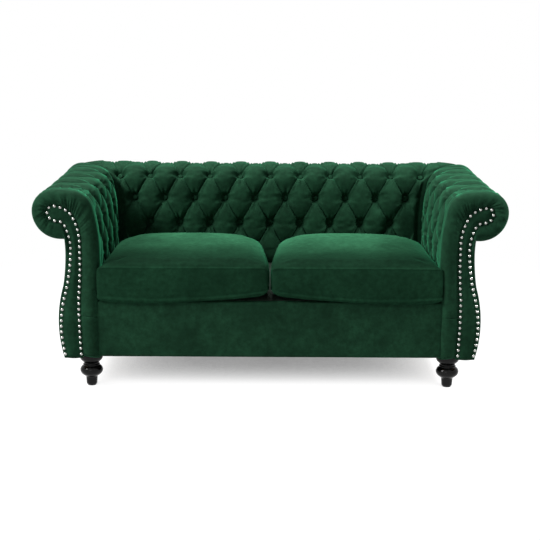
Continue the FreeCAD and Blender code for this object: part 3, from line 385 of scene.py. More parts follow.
def plainLayer(name, side, outerInset, innerInset, material):
    outerStations = np.linspace(rollLine["lowStation"], rollLine["tailStation"], 70)
    stations = np.concatenate([outerStations, outerStations[::-1]])
    insets = np.repeat([outerInset, innerInset], len(outerStations))
    low, high = sofaEnds(side, alongRoll(stations, insets)[0])
    rings = [placeOnSofa(side, stations, low + (high - low) * t, insets) for t in np.linspace(0, 1, 9)]
    across = pointsOf(*alongRoll(outerStations, outerInset))
    steps = np.linalg.norm(np.diff(across, axis=0), axis=1)
    reach = (high - low)[: len(outerStations)]
    area = (steps * (reach[1:] + reach[:-1]) / 2).sum()
    cut = {"flat": (float(steps.sum()), float(reach.max())), "area": float(area)}
    return loftPiece(name, np.array(rings), material), cut


def velvetPad(name, rings, node):
    piece = loftPiece(name, rings, bodyVelvet)
    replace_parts(piece, node)


# Diamond tufting. Rows are counted down from the crest, so row 1 is the first row of buttons.
tufting = {
    "crestRow": 0.748,
    "rowPitch": 0.09705,
    "buttonSink": 31 * mm,
    "foldSink": 15.5 * mm,
    "endGap": 12 * mm,
    "borderGap": 2 * mm,
    "crestOpen": 0.62,
    "starFold": 1.7 * mm,
    "starReach": 75 * mm,
    "starCounts": (5, 7, 9, 12),
    "lips": ((-0.0028, 0.0105, 0.0026), (0.0018, 0.0062, 0.0022)),  # depth, distance from the crease and width
    "holeFlat": 8 * mm,
    "holeSlope": 16 * mm,
    "halfSeatShare": 0.05,
    "cellsEachGroup": 14,
    "stationStep": 4.0 * mm,
    "mitreSink": 9 * mm,
    "tailFade": (0.83, 0.98),
    "drag": 0.6 * mm,
}
backColumns = {"pitch": 0.057, "first": -0.570, "count": 11, "hiddenRowTo": 0.52}
armColumns = {
    "pitch": 0.0695,
    "first": -0.4010,
    "count": 5,
    "hiddenRowTo": 0.1,
    "even": (0.1665, 0.3055, 0.4445, 0.5835),
    "odd": (0.097, 0.236, 0.375, 0.514),
}
# Fine pleats that fan back over the roll from the front: station, drift, depth and length
fanPleats = {
    "left": (
        (0.655, -0.10, 0.0016, 0.11), (0.690, -0.06, 0.0018, 0.13), (0.722, 0.02, 0.0017, 0.15),
        (0.752, 0.08, 0.0018, 0.14), (0.786, 0.12, 0.0016, 0.13), (0.822, 0.14, 0.0014, 0.12),
        (0.860, 0.10, 0.0012, 0.11),
    ),
    "right": (
        (0.668, -0.08, 0.0012, 0.09), (0.712, 0.02, 0.0014, 0.11), (0.758, 0.08, 0.0014, 0.12),
        (0.806, 0.10, 0.0012, 0.10),
    ),
}


def tuftNodes(side):
    # Row, place along and station of each button
    if side == "back":
        pitch = backColumns["pitch"]
        even = [i * 2 * pitch for i in range(-5, 6)]
        odd = [pitch + i * 2 * pitch for i in range(-5, 5)]
        rows = {1: even, 2: odd, 3: even[1:-1]}
    else:
        even, odd = [[rollLine["frontY"] + d for d in armColumns[key]] for key in ("even", "odd")]
        rows = {1: even, 2: odd, 3: even}
    stations = {row: tufting["crestRow"] - row * tufting["rowPitch"] for row in rows}
    return [(row, along, stations[row]) for row, places in rows.items() for along in places]


def tuftedSurface(side, seed):
    look = tufting
    onBack = side == "back"
    columns = backColumns if onBack else armColumns
    pitch = columns["pitch"]
    random = np.random.default_rng(seed)
    count = int((rollLine["tailStation"] - rollLine["lowStation"]) / look["stationStep"]) + 1
    station = np.linspace(rollLine["lowStation"], rollLine["tailStation"], count)
    level = (look["crestRow"] - station) / look["rowPitch"]  # 1 at the first row of buttons, 2 at the next
    evenOpen = np.interp(level, [0, 1, 2, 3, 4], [look["crestOpen"], 0, 1, 0, 1])
    share = look["halfSeatShare"] + (1 - 2 * look["halfSeatShare"]) * evenOpen
    lowEnd, highEnd = sofaEnds(side, alongRoll(station)[0])

    # Groups of columns between two creases, by turns narrow and wide at a row
    evenPlaces = [columns["first"] + 2 * pitch * i for i in range(columns["count"])]
    groups = [(evenPlaces[0] - pitch, False)] if onBack else []
    for place in evenPlaces:
        groups += [(place, True), (place + pitch, False)]
    present = {(row, round(along, 4)) for row, along, nodeStation in tuftNodes(side)}
    for along, even in groups:
        if not even and (abs(along) if onBack else along) < columns["hiddenRowTo"]:
            present.add((4, round(along, 4)))

    def nodeThere(row, along):
        return 1.0 if (row, round(along, 4)) in present else 0.0

    def creaseStrength(evenPlace, oddPlace):
        # How strong the crease between an even and an odd column is, at each level
        marks = [nodeThere(row, evenPlace if row % 2 else oddPlace) for row in (1, 2, 3, 4)]
        strength = np.zeros_like(level)
        for first in range(3):
            part = np.clip(level - (first + 1), 0, 1)
            inside = (level >= first + 1) & (level < first + 2)
            a, b = marks[first], marks[first + 1]
            fade = a * b + a * (1 - b) * (1 - part) ** 2.2 + b * (1 - a) * part**2.2
            strength = np.where(inside, fade, strength)
        strength = np.where(level < 1, marks[0], strength)
        return np.where(level >= 4, marks[3], strength)

    knots, creases = [], []
    low = lowEnd + (look["endGap"] if onBack else look["borderGap"])
    high = highEnd - look["endGap"]
    soft = 6 * mm
    for number in range(len(groups) + 1):
        place, even = groups[max(number - 1, 0)]
        way = 1 if number else -1
        across = place + way * pitch * (share if even else 1 - share)
        evenPlace, oddPlace = (place, place + way * pitch) if even else (place + way * pitch, place)
        strength = creaseStrength(evenPlace, oddPlace)
        if onBack and abs(abs(evenPlace) + columns["first"]) < 1e-3:
            outer = abs(oddPlace) > -columns["first"]
            strength = np.where(level < 1, strength * (1.0 if outer else 0.45), 0 if outer else strength)
        inner = low + soft * np.logaddexp(0, (across - low) / soft)
        knots.append(high - soft * np.logaddexp(0, (high - inner) / soft))
        reach = smoothStep(np.minimum(across - low, high - across), -0.004, 0.022)
        creases.append(strength * reach)
    knots = [lowEnd] + knots + [highEnd]

    # Depth of a crease and of the middle of a group, in metres below the plain surface
    part = level - np.floor(level)
    creaseDepth = -look["foldSink"] - (look["buttonSink"] - look["foldSink"]) * np.abs(2 * part - 1) ** 2.6
    topDepth = -0.0125 - 0.0185 * np.exp(-np.maximum(1 - level, 0) / 0.25)
    if not onBack:
        topDepth = topDepth - 0.004
    tailFade = smoothStep(station, *look["tailFade"])
    creaseDepth = np.where(level < 1, topDepth * (1 - tailFade) - 0.005 * tailFade, creaseDepth)
    creaseDepth = np.where(level > 4, -0.013, creaseDepth)

    spread = closerAtEnds(look["cellsEachGroup"], 0.55)
    alongAll, heightAll = [], []
    for number, (left, right) in enumerate(zip(knots[:-1], knots[1:])):
        last = number == len(knots) - 2
        for t in spread if last else spread[:-1]:
            alongAll.append(left + (right - left) * (t + 1) / 2)
            if number == 0 or last:
                fromCrease = (1 + t if last else 1 - t) * (right - left) / 2
                heightAll.append(creases[-1 if last else 0] * creaseDepth * bellCurve(fromCrease, 0, 0.012))
                continue
            place, even = groups[number - 1]
            leftCrease, rightCrease = creases[number - 1], creases[number]
            nearCrease = leftCrease if t < 0 else rightCrease
            row = 1 if even else 2
            there = np.where(level < row + 1, nodeThere(row, place), nodeThere(row + 2, place))
            openShare = np.clip(evenOpen if even else 1 - evenOpen, 0, 1)
            middle = -look["buttonSink"] * (1 - openShare) ** 3.0 * there
            beside = 0.5 * (leftCrease + rightCrease)
            if even:
                crest = -look["buttonSink"] * (1 - np.clip(openShare / look["crestOpen"], 0, 1)) ** 2.2 * there
                crest = crest * 0.95 - 0.002 * beside * (1 - tailFade)
            else:
                crest = -0.0085 * smoothStep(1 - level, 0.0, 1.0) * beside * (1 - 0.7 * tailFade)
            middle = np.where(level < 1, crest, middle)
            middle = np.where(level > 4, -0.002 if even else -0.012, middle)
            edge = creaseDepth * nearCrease
            fromMiddle = min(abs(t), 1.0)
            crown = 0.48 * (1 - fromMiddle**2.0) + 0.52 * (1 - fromMiddle**6) ** 0.6
            # The tuck of a fold: a thin lip beside the crease, on the pillow below it
            halfWidth = 0.5 * (right - left)
            fromCrease = (1 - abs(t)) * halfWidth
            if even:
                below = ((level >= 1) & (level < 2)) | ((level >= 3) & (level < 4))
            else:
                below = (level >= 2) & (level < 3)
            lip = sum(deep * bellCurve(fromCrease, away, wide) for deep, away, wide in look["lips"])
            lip = np.where(below | (level < 1), lip, 0.35 * lip)
            lipReach = smoothStep(halfWidth, 0.012, 0.024) * nearCrease
            heightAll.append(edge + (middle - edge) * crown + lip * lipReach)
    along = np.array(alongAll)
    height = np.array(heightAll)
    stationGrid = np.broadcast_to(station, along.shape)

    # Star folds round each button, and a few light drag lines
    starFold = look["starFold"] * (1 if onBack else 1.5)
    for row, place, nodeStation in tuftNodes(side):
        apart = np.hypot(along - place, stationGrid - nodeStation)
        angle = np.arctan2(stationGrid - nodeStation, along - place)
        waves = np.zeros_like(apart)
        for m in look["starCounts"]:
            waves += random.uniform(0.5, 1.0) * np.cos(m * angle + random.uniform(0, 6.28))
        window = smoothStep(apart, 0.012, 0.020) * (1 - smoothStep(apart, 0.020, 0.060))
        height = height + np.where(apart < look["starReach"], starFold * waves * window, 0)
        hole = bellCurve(np.maximum(apart - look["holeFlat"], 0), 0, look["holeSlope"])
        height = np.minimum(height, -look["buttonSink"] * np.where(hole > 0.02, hole, -1))
    a, s = along, stationGrid
    wander = np.sin(a / 0.041 + s / 0.063 + seed) * np.sin(s / 0.037 - a / 0.071 + 2 * seed)
    wander += 0.6 * np.sin(a / 0.019 - s / 0.023 + 3 * seed) * np.sin(s / 0.017 + a / 0.029)
    height = height + look["drag"] * wander

    # Both covers sink alike towards the mitre seam, and the arm's cover tucks under its border
    toLow = along - lowEnd
    toMitre = np.abs(highEnd - along)
    if onBack:
        toMitre = np.minimum(toMitre, np.abs(toLow))
    height = height * (1 - bellCurve(toMitre, 0, 0.011)) - look["mitreSink"] * bellCurve(toMitre, 0, 0.012)
    height = height - 0.008 * bellCurve(toMitre, 0, 0.055)
    if not onBack:
        height = height * smoothStep(toLow, 0, 0.008) - 0.0035 * bellCurve(toLow, 0, 0.005)
        for middleStation, drift, strength, length in fanPleats[side]:
            line = middleStation + drift * toLow
            reachNow = 1 - smoothStep(toLow, 0.3 * length, length)
            height = height - 1.9 * strength * bellCurve(stationGrid, line, 0.0032) * reachNow
            height = height + 0.9 * strength * bellCurve(stationGrid, line + 0.007, 0.004) * reachNow
    return station, along, height * smoothStep(rollLine["tailStation"] - stationGrid, 0.0, 0.01)


def tuftedCover(name, side, seed, node):
    station, along, height = tuftedSurface(side, seed)
    innerStation = np.linspace(rollLine["tailStation"], rollLine["lowStation"], 40)
    innerInset = np.full_like(innerStation, rollLine["coverThickness"])
    lowInner, highInner = sofaEnds(side, alongRoll(innerStation, innerInset)[0])
    lastColumn = len(along) - 1
    rings = []
    for k, place in enumerate(along):
        # The end sections lie in the mitre plane, so their place along follows the inset there
        if k == lastColumn or (k == 0 and side == "back"):
            place = sofaEnds(side, alongRoll(station, -height[k])[0])[1 if k else 0]
        outer = placeOnSofa(side, station, place, -height[k])
        innerPlace = lowInner + (highInner - lowInner) * (k / lastColumn)
        rings.append(np.concatenate([outer, placeOnSofa(side, innerStation, innerPlace, innerInset)]))
    velvetPad(name, np.array(rings), node)


tuftedCover("backTuftedCover", "back", 4, "back_tufted_cover")
tuftedCover("leftArmTuftedCover", "left", 7, "left_arm_tufted_cover")
tuftedCover("rightArmTuftedCover", "right", 9, "right_arm_tufted_cover")
for side in ("back", "left", "right"):
    nodeName = "back" if side == "back" else side + "_arm"
    pieceName = "back" if side == "back" else side + "Arm"
    foamLayer, cut = plainLayer(pieceName + "FoamLayer", side, 0.0345, 0.0595, cutFoam)
    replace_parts(foamLayer, nodeName + "_foam")
    burlapLayer, cut = plainLayer(pieceName + "BurlapLayer", side, 0.0600, 0.0628, juteBurlap)
    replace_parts(burlapLayer, nodeName + "_burlap")
print("loveseat: tufted covers, foam and burlap made")

# Covered buttons, each drawn down into its dimple
buttonShape = {"radius": 10 * mm, "proud": 5.5 * mm, "rings": 9, "spokes": 28, "underEdge": 0.55}


def coveredButtons(name, side, node, seed):
    random = np.random.default_rng(seed)
    points, faces = [], []
    rings, spokes, proud = buttonShape["rings"], buttonShape["spokes"], buttonShape["proud"]
    # From the hidden rim underneath, out round the edge and over the dome
    ring = np.arange(rings + 1)[:, None]
    angle = -buttonShape["underEdge"] + (math.pi / 2 + buttonShape["underEdge"]) * ring / (rings + 1)
    across = buttonShape["radius"] * np.cos(np.abs(angle)) ** 0.72
    rise = proud * (0.26 + np.where(angle > 0, 0.74, 0.4) * np.sin(angle))
    turned = 2 * math.pi * np.arange(spokes) / spokes
    alongTurn, sideways = across * np.cos(turned), across * np.sin(turned)
    turn = np.array((1, 0, 0) if side == "back" else (0, 1, 0))
    for row, along, station in tuftNodes(side):
        base, top = [placeOnSofa(side, station, along, inset) for inset in (tufting["buttonSink"], 0.0)]
        normal = (top - base) / np.linalg.norm(top - base)
        lean = random.uniform(-0.05, 0.05, 2)
        ripple = 1 + 0.012 * np.cos(9 * turned + random.uniform(0, 6.28)) * (1 - ring / rings)
        dome = base + (alongTurn * ripple)[..., None] * turn
        dome = dome + (sideways * ripple)[..., None] * np.cross(normal, turn)
        dome = dome + (rise + lean[0] * alongTurn + lean[1] * sideways)[..., None] * normal
        first, crown = len(points), len(points) + dome.size // 3
        points += [*dome.reshape(-1, 3), base + normal * proud]
        lastRing = crown - spokes
        faces += ringFaces(rings + 1, spokes, first, capped=False)
        faces += [(lastRing + k, lastRing + (k + 1) % spokes, crown) for k in range(spokes)]
        faces.append(tuple(range(first, first + spokes)))
    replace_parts(makePiece(name, points, faces, bodyVelvet), node)


coveredButtons("backCoveredButtons", "back", "back_buttons", 21)
coveredButtons("leftArmCoveredButtons", "left", "left_arm_buttons", 22)
coveredButtons("rightArmCoveredButtons", "right", "right_arm_buttons", 23)
print("loveseat: buttons made")


# Arm fronts. Points are (out, up) in mm; the border runs from the outer foot over the scroll to the inner foot.
def arcPoints(first, middle, last, count):
    # The arc through three points, worked out in the complex plane
    a, b, c = (complex(*point) for point in (first, middle, last))
    ratio = (c - a) / (b - a)
    centre = a + (b - a) * (ratio - abs(ratio) ** 2) / (2j * ratio.imag)
    halfway, sweep = [np.angle((z - centre) / (a - centre)) % (2 * math.pi) for z in (b, c)]
    if halfway > sweep:
        sweep -= 2 * math.pi
    arc = centre + (a - centre) * np.exp(1j * sweep * np.linspace(0, 1, count))
    return pointsOf(arc.real, arc.imag)


armSide = {"top": (677, 511), "neck": (677, 440), "waist": (686.33, 355), "belly": (705, 245), "foot": (688, 112)}
nailOrigin = np.array([564, 112])
nailArcs = (
    ((118, 0), (131, 118), (116, 212)),
    ((116, 212), (102, 276), (94, 346)),
    ((94, 346), (97, 403), (109, 441)),
    ((109, 441), (119, 456), (138, 462)),
    ((138, 462), (156, 468), (165, 482)),
    ((165, 482), (164, 502), (151, 511)),
    ((151, 511), (120, 505), (91, 485)),
    ((91, 485), (73, 446), (64, 378)),
    ((64, 378), (65, 290), (71, 200)),
    ((71, 200), (71, 100), (67, 0)),
)
# A mark on the nail line, and the point or the station of the outline that it looks to
borderPairs = (
    ((118, 0), (688, 105)), ((116, 212), (691, 324)), ((94, 346), (677, 458)), ((109, 441), (677, 511)),
    ((138, 462), 1015), ((165, 482), 930), ((151, 511), 850), ((120, 505), 760), ((91, 485), 690),
    ((73, 446), 620), ((64, 378), 500), ((65, 290), 400), ((71, 200), 312),
)
borderForm = {
    "seamAt": 251,
    "grooveOffset": 4.6,
    "grooveDepth": 12.0,
    "crestShare": 0.52,
    "crestReach": 38,
    "rings": 900,
    "foot": 105,
    "deckUp": 300,
    "underRoll": 500,
    "gather": 1.5,
    "fineGather": 1.7,
    "seamDeep": 2.2,
}


def sideLine(bottom, count=60):
    lower = arcPoints((armSide["foot"][0], bottom), armSide["belly"], armSide["waist"], count)
    upper = arcPoints(armSide["waist"], armSide["neck"], armSide["top"], count)
    return np.concatenate([lower, upper[1:]])


def nailPolyline():
    parts = [arcPoints(*(nailOrigin + marks), 60)[:-1] for marks in nailArcs]
    return np.concatenate(parts + [[nailOrigin + nailArcs[-1][-1]]])


def lengthsAlong(line):
    return np.concatenate([[0], np.cumsum(np.linalg.norm(np.diff(line, axis=0), axis=1))])


def pointAt(line, lengths, wanted):
    return pointsOf(*[np.interp(wanted, lengths, axis) for axis in line.T])

def lengthNear(line, lengths, point):
    return lengths[np.argmin(np.hypot(*(line - point).T))]


def borderLines():
    stations = np.linspace(rollLine["tailStation"], 0.105, 900)
    side = sideLine(borderForm["foot"])
    outline = np.concatenate([side, pointsOf(*alongRoll(stations)) / mm])
    nails = nailPolyline()
    outlineLength, nailLength = lengthsAlong(outline), lengthsAlong(nails)
    nailKeys, outlineKeys = [], []
    for mark, goal in borderPairs:
        nailKeys.append(lengthNear(nails, nailLength, nailOrigin + mark))
        if isinstance(goal, tuple):
            outlineKeys.append(lengthNear(outline, outlineLength, goal))
        else:
            outlineKeys.append(outlineLength[len(side) + np.argmin(np.abs(stations - goal * mm))])
    ringNail = np.linspace(0, nailLength[-1], borderForm["rings"])
    ringOutline = np.interp(ringNail, nailKeys + [nailLength[-1]], outlineKeys + [outlineLength[-1]])
    kernel = np.hanning(57)
    before = 2 * ringOutline[0] - ringOutline[28:0:-1]
    after = 2 * ringOutline[-1] - ringOutline[-2:-30:-1]
    ringOutline = np.convolve(np.concatenate([before, ringOutline, after]), kernel / kernel.sum(), mode="valid")
    nailPoints = pointAt(nails, nailLength, ringNail)
    outlinePoints = pointAt(outline, outlineLength, ringOutline)
    padded = np.pad(np.gradient(nailPoints, axis=0), ((19, 19), (0, 0)), mode="edge")
    tangent = pointsOf(*[np.convolve(axis, np.ones(39) / 39, mode="valid") for axis in padded.T])
    tangent /= np.linalg.norm(tangent, axis=1)[:, None]
    normal = tangent[:, ::-1] * (1, -1)
    normal *= np.sign(((outlinePoints - nailPoints) * normal).sum(1))[:, None]
    return nailPoints, outlinePoints, normal, ringNail, ringOutline, outlineLength[len(side) - 1]


def armBorder(name, side, node, seed):
    form = borderForm
    nailPoints, outlinePoints, normal, ringNail, ringOutline, sideReach = borderLines()
    across = nailPoints + normal * form["grooveOffset"] - outlinePoints
    width = np.linalg.norm(across, axis=1)
    up = outlinePoints[:, 1]
    crestDepth = 12 * (1 - smoothStep(width, 10, 30))
    # On the roll the border wraps back over the arm's end; on the side and below the deck it stops at the frame
    onRoll = smoothStep(ringOutline, sideReach - 6, sideReach + 6) * (up > form["deckUp"])
    inner = ringOutline > sideReach
    lowInner = ringOutline > sideReach + form["underRoll"]
    lowFade = np.where(lowInner, smoothStep(up, form["deckUp"], form["deckUp"] + 12), 1.0)
    backDepth = np.where(inner, 20 + 40 * onRoll * lowFade, 20)
    # Low on the inside the puff is rounder, and the rail's cover meets it on its flank
    sideRound = np.where(inner, 26 + 14 * lowInner * (1 - smoothStep(up, 320, 470)), 18)
    startAngle = np.arcsin(np.clip(1 - backDepth / sideRound, 0, 1))
    place = np.arange(len(width))
    fromFoot = np.minimum(place, len(width) - 1 - place)
    footShare = np.sqrt(1 - (1 - np.clip(fromFoot / 11.0, 0, 1)) ** 2)
    footShare = np.clip(footShare, 0.35, 1)

    # Gathers: soft radial folds where the fabric turns round the scroll
    alongRollMm = ringOutline - sideReach
    gatherZone = smoothStep(alongRollMm, 20, 90) * (1 - smoothStep(alongRollMm, 400, 520))
    phase = ringNail / 3.4 + 1.3 * np.sin(ringNail / 37.0 + seed) + 0.8 * np.sin(ringNail / 19.0)
    finePhase = ringNail / 1.35 + 1.9 * np.sin(ringNail / 23.0 + seed) + 1.2 * np.sin(ringNail / 9.0)
    gather = (np.sin(phase) + 0.5 * np.sin(0.47 * phase + 1.0)) * gatherZone
    fineGather = np.sin(finePhase) * (0.65 + 0.35 * np.sin(ringNail / 13.0 + 2 * seed)) * gatherZone
    seam = np.where(inner, bellCurve(up, form["seamAt"], 2.0), 0) * (outlinePoints[:, 0] < 600)

    # Share across and depth of each line, from the back of the side round to the back of the groove
    behind = np.maximum(backDepth - sideRound, 0)
    crestShare = np.minimum(form["crestShare"], form["crestReach"] / width)
    startShare = crestShare * (1 - np.cos(startAngle))
    section = []
    for k in (0.0, 0.35, 0.7):
        section.append((startShare, sideRound * (1 - np.sin(startAngle)) + behind * (1 - k)))
    for t in np.linspace(0, 1, 12):
        angle = startAngle + (math.pi / 2 - startAngle) * t
        section.append((crestShare * (1 - np.cos(angle)), sideRound + (crestDepth - sideRound) * np.sin(angle)))
    for t in np.linspace(0, 1, 13)[1:]:
        section.append((crestShare + (1 - crestShare) * t, crestDepth + (form["grooveDepth"] - crestDepth) * t**1.9))
    hold = np.minimum(1, form["crestReach"] / width)
    section.append((np.ones_like(width), 19.0 + 0 * width))
    section.append((hold, np.minimum(21.0, backDepth - 0.5)))
    section.append((np.maximum(hold, startShare + 0.05), backDepth))
    lines = []
    for share, depth in section:
        nearFront = smoothStep(30 - depth, 0, 12)
        onFront = nearFront * np.sin(math.pi * np.clip(share * 0.9 + 0.05, 0, 1))
        byNails = nearFront * smoothStep(share, 0.12, 0.7) * (1 - smoothStep(share, 0.94, 1.0))
        folds = form["gather"] * gather * onFront + form["fineGather"] * fineGather * byNails
        depth = depth - folds + form["seamDeep"] * seam * (depth < 16)
        shareNow = 0.45 + (share - 0.45) * (0.9 + 0.1 * footShare)
        depth = np.where(depth < 20, 20 - (20 - depth) * footShare, depth)
        flat = outlinePoints + across * shareNow[:, None]
        lines.append(pointsOf(sideSign[side] * flat[:, 0], rollLine["frontY"] / mm + depth, flat[:, 1]))
    velvetPad(name, np.array(lines).transpose(1, 0, 2) * mm, node)


panelForm = {
    "outer": ((118, 0), (116, 212), (94, 346), (109, 441), (138, 462), (165, 482)),
    "inner": ((67, 0), (71, 200), (66, 330), (73, 446), (91, 485), (120, 505)),
    "top": (160, 508),
    "rows": 120,
    "cells": 14,
    "underBorder": 6.0,
    "backDepth": 19.6,
    "pastFoot": 4,
    "pastTop": 6,
}


def frontPanel(name, side, node):
    # The plain panel inside the nails, a little rounded towards its edge
    form = panelForm
    nails = nailPolyline()
    lengths = lengthsAlong(nails)
    top = lengthNear(nails, lengths, nailOrigin + form["top"])
    edges = []
    for key, beside in (("outer", -6), ("inner", 6)):
        keys = [lengthNear(nails, lengths, nailOrigin + mark) for mark in form[key]] + [top + beside]
        share = np.linspace(0, len(keys) - 1, form["rows"])
        edges.append(pointAt(nails, lengths, np.interp(share, range(len(keys)), keys)))
    outerEdge, innerEdge = edges
    reachOut = (outerEdge - innerEdge) / np.linalg.norm(outerEdge - innerEdge, axis=1)[:, None]
    outerEdge = outerEdge + reachOut * form["underBorder"]
    innerEdge = innerEdge - reachOut * form["underBorder"]
    sign = sideSign[side]
    front = rollLine["frontY"] / mm
    cells = np.linspace(0, 1, form["cells"] + 1)
    rings = []
    for low, high in zip(innerEdge, outerEdge):
        edgeMm = np.minimum(cells, 1 - cells) * np.linalg.norm(high - low)
        rise = 8.7 - 5.6 * (1 - bellCurve(np.maximum(edgeMm - 7, 0), 0, 13)) + 2.2 * np.exp(-edgeMm / 1.3)
        out, up = (low + (high - low) * cells[:, None]).T
        face = pointsOf(sign * out, front + rise, up)
        rear = pointsOf(sign * out, front + form["backDepth"], up)[::-1]
        rings.append(np.concatenate([face, rear]))
    rings = np.array(rings) * mm
    rings[0, :, 2] -= form["pastFoot"] * mm
    tip = rings[-1].mean(axis=0) - rings[-6].mean(axis=0)
    rings[-1] += tip / np.linalg.norm(tip) * form["pastTop"] * mm
    velvetPad(name, rings, node)


for side, seed in (("left", 5), ("right", 11)):
    armBorder(side + "ArmBorder", side, side + "_arm_border", seed)
    frontPanel(side + "FrontPanel", side, side + "_front_panel")
print("loveseat: arm fronts made")

# Outside covers: the arm's side and the plain back, drawn tight over the frame
outsideForm = {"thickness": 8, "front": -408.5, "rear": 313.5, "foot": 112, "topFrom": 511, "pucker": 0.5}
outsideLine = np.concatenate([sideLine(outsideForm["foot"], 40), [[677, 520], [677, 532], [677, 544.5]]])
outsideOut, outsideUp = outsideLine.T
lowPucker = outsideForm["pucker"] * np.exp(-(outsideUp - outsideForm["foot"]) / 26)
bottomDraw = 2.0 * bellCurve(outsideUp, outsideForm["foot"], 5)


def outsideArm(name, side, node):
    form = outsideForm
    rings = []
    for y in np.linspace(form["front"], form["rear"], 90):
        edge = min(y - form["front"], form["rear"] - y)
        ripple = lowPucker * np.sin(y / 8.5 + 0.4 * math.sin(y / 31)) - 1.6 * bellCurve(edge, 0, 5)
        ripple = ripple + 0.7 * np.sin(outsideUp / 47 + y / 80) - bottomDraw
        ripple = np.minimum(np.where(outsideUp > form["topFrom"], -0.8, ripple), 0.6)
        out = sideSign[side] * np.concatenate([outsideOut + ripple, outsideOut[::-1] - form["thickness"]])
        up = np.concatenate([outsideUp, outsideUp[::-1]])
        rings.append(pointsOf(out, y, up))
    velvetPad(name, np.array(rings) * mm, node)


def outsideBack(name, node):
    form = outsideForm
    rings = []
    for t in np.linspace(-1, 1, 150):
        x = outsideOut * t
        edge = (1 - abs(t)) * 690
        ripple = lowPucker * np.sin(x / 8.3 + 0.5 * np.sin(x / 37)) - bottomDraw
        sag = 0.6 * np.sin(outsideUp / 90 + x / 150)
        proud = form["thickness"] - 1.0 - 1.8 * bellCurve(edge, 0, 6) + ripple + sag
        outer = pointsOf(x, form["rear"] + proud, outsideUp)
        rings.append(np.concatenate([outer, pointsOf(x, form["rear"] + 0.2, outsideUp)[::-1]]))
    velvetPad(name, np.array(rings) * mm, node)


outsideArm("leftOutsideArmCover", "left", "left_outside_arm_panel")
outsideArm("rightOutsideArmCover", "right", "right_outside_arm_panel")
outsideBack("outsideBackCover", "outside_back_panel")


def softSlab(name, node, roundMm, material):
    # A closed flat slab with rounded edges: a grid above and below, joined round its rim
    low, high = np.array(boxMm(node))
    middle, half = (low + high) / 2, (high - low) / 2
    u, v = closerAtEnds(60, 0.35), closerAtEnds(30, 0.35)
    points = []
    for layer in (1, -1):
        for a in u:
            for b in v:
                edge = min((1 - abs(a)) * half[0], (1 - abs(b)) * half[1])
                fall = 1 - math.sqrt(max(0, 1 - (1 - min(edge / roundMm, 1)) ** 2))
                points.append((middle + half * (a, b, layer * (1 - 0.92 * fall))) * mm)
    size = len(u) * len(v)
    rim = gridRim(len(u), len(v))
    faces = gridFaces(len(u), len(v), turned=True) + gridFaces(len(u), len(v), size)
    faces += wallFaces(rim, [size + n for n in rim])
    piece = makePiece(name, points, faces, material)
    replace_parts(piece, node)
    return piece


# The front rail's cover, whose ends lie over the borders' flanks
railForm = {"crease": 0.35, "round": 6, "overEdge": 13.5, "innerEnd": 563.4}


def frontRailCover():
    (lowX, lowY, lowZ), (highX, highY, highZ) = boxMm("front_rail_cover")
    lowX, highX = lowX - railForm["overEdge"], highX + railForm["overEdge"]
    tall = highZ - lowZ
    nearEdge = np.array([0, 0.6, 1.8, 3.5, 6])
    ups = np.concatenate([nearEdge, np.linspace(10, tall - 10, 30), tall - nearEdge[::-1]])
    edge = np.minimum(ups, tall - ups)
    fall = 1 - np.sqrt(1 - (1 - np.clip(edge / railForm["round"], 0, 1)) ** 2)
    rings = []
    for x in np.linspace(lowX, highX, 260):
        endEdge = min(x - lowX, highX - x)
        pull = railForm["crease"] * math.sin(x / 7.9 + 0.9 * math.sin(x / 29)) * np.exp(-ups / 16)
        sway = 0.55 * math.sin(x / 140 + 0.6) * np.sin(ups / 33 + x / 260)
        front = lowY + 0.6 + 7.5 * fall + pull + sway + 1.8 * bellCurve(endEdge, 0, 5)
        innerX = max(min(x, railForm["innerEnd"]), -railForm["innerEnd"])
        frontUp = lowZ + ups * (1 - 0.035 * math.exp(-endEdge / 5))
        inner = pointsOf(innerX, highY - 0.1, lowZ + ups[::-1])
        rings.append(np.concatenate([pointsOf(x, front, frontUp), inner]))
    velvetPad("frontRailCover", np.array(rings) * mm, "front_rail_cover")


frontRailCover()
softSlab("deckPad", "deck_pad", 5, cutFoam)
deckCloth = softSlab("deckCloth", "deck_cover", 1.0, deckCottonPaintedShade)
dustCloth = softSlab("dustCloth", "dust_cover", 0.6, spunCloth)
print("loveseat: outside covers and deck made")

# Seat cushions: boxed covers blown up by a cloth run, with seams drawn afterwards
cushionForm = {
    "innerMm": 3.0,
    "outerMm": 560.5,
    "frontMm": -427.5,
    "backMm": 199.0,
    "seamTop": 419,
    "seamFall": 13,
    "backFall": 24,
    "cornerFall": 20,
    "aboveZip": 376.5,
    "pastZip": 90,
    "seamBottom": 319,
    "crownTop": 446,
    "edgeRise": ((7, 3), (10, 17)),
    "gapLift": 25,
    "bottomDrop": 12.0,
    "drawSides": 8,
    "drawFront": 4,
    "gapDraw": 26,
    "cornerPull": 5,
    "backCornerPull": 16,
    "pressure": 4.0,
    "frames": 20,
    "capMm": 3.0,
    "cornerRound": 12,
    "flare": 25.0,
    "peak": 0.365,
    "deckTop": 306.8,
    "lip": ((0, 2, 4.5, 7.5, 10.5, 16), (6, -3, -7, -6, 0, 0)),  # distance from the front edge, and rise
    "bandBulge": 4.2,
    "bandShares": (0.025, 0.06, 0.13, 0.24, 0.36, 0.48, 0.60, 0.72, 0.82, 0.885, 0.915, 0.955),
    "seamPushes": ((0, 1.3), (1, -1.0), (-4, -2.0), (-3, 1.0), (-2, 2.4)),  # run of the band, and move outward
}


def cushionLines():
    # Places across a cushion, closer together at its edges
    fine = np.array([0.0, 0.006, 0.014, 0.024, 0.034])
    half = np.concatenate([fine, np.linspace(0.055, 1, 30)])
    return np.concatenate([-1 + half, (1 - half[:-1])[::-1]])


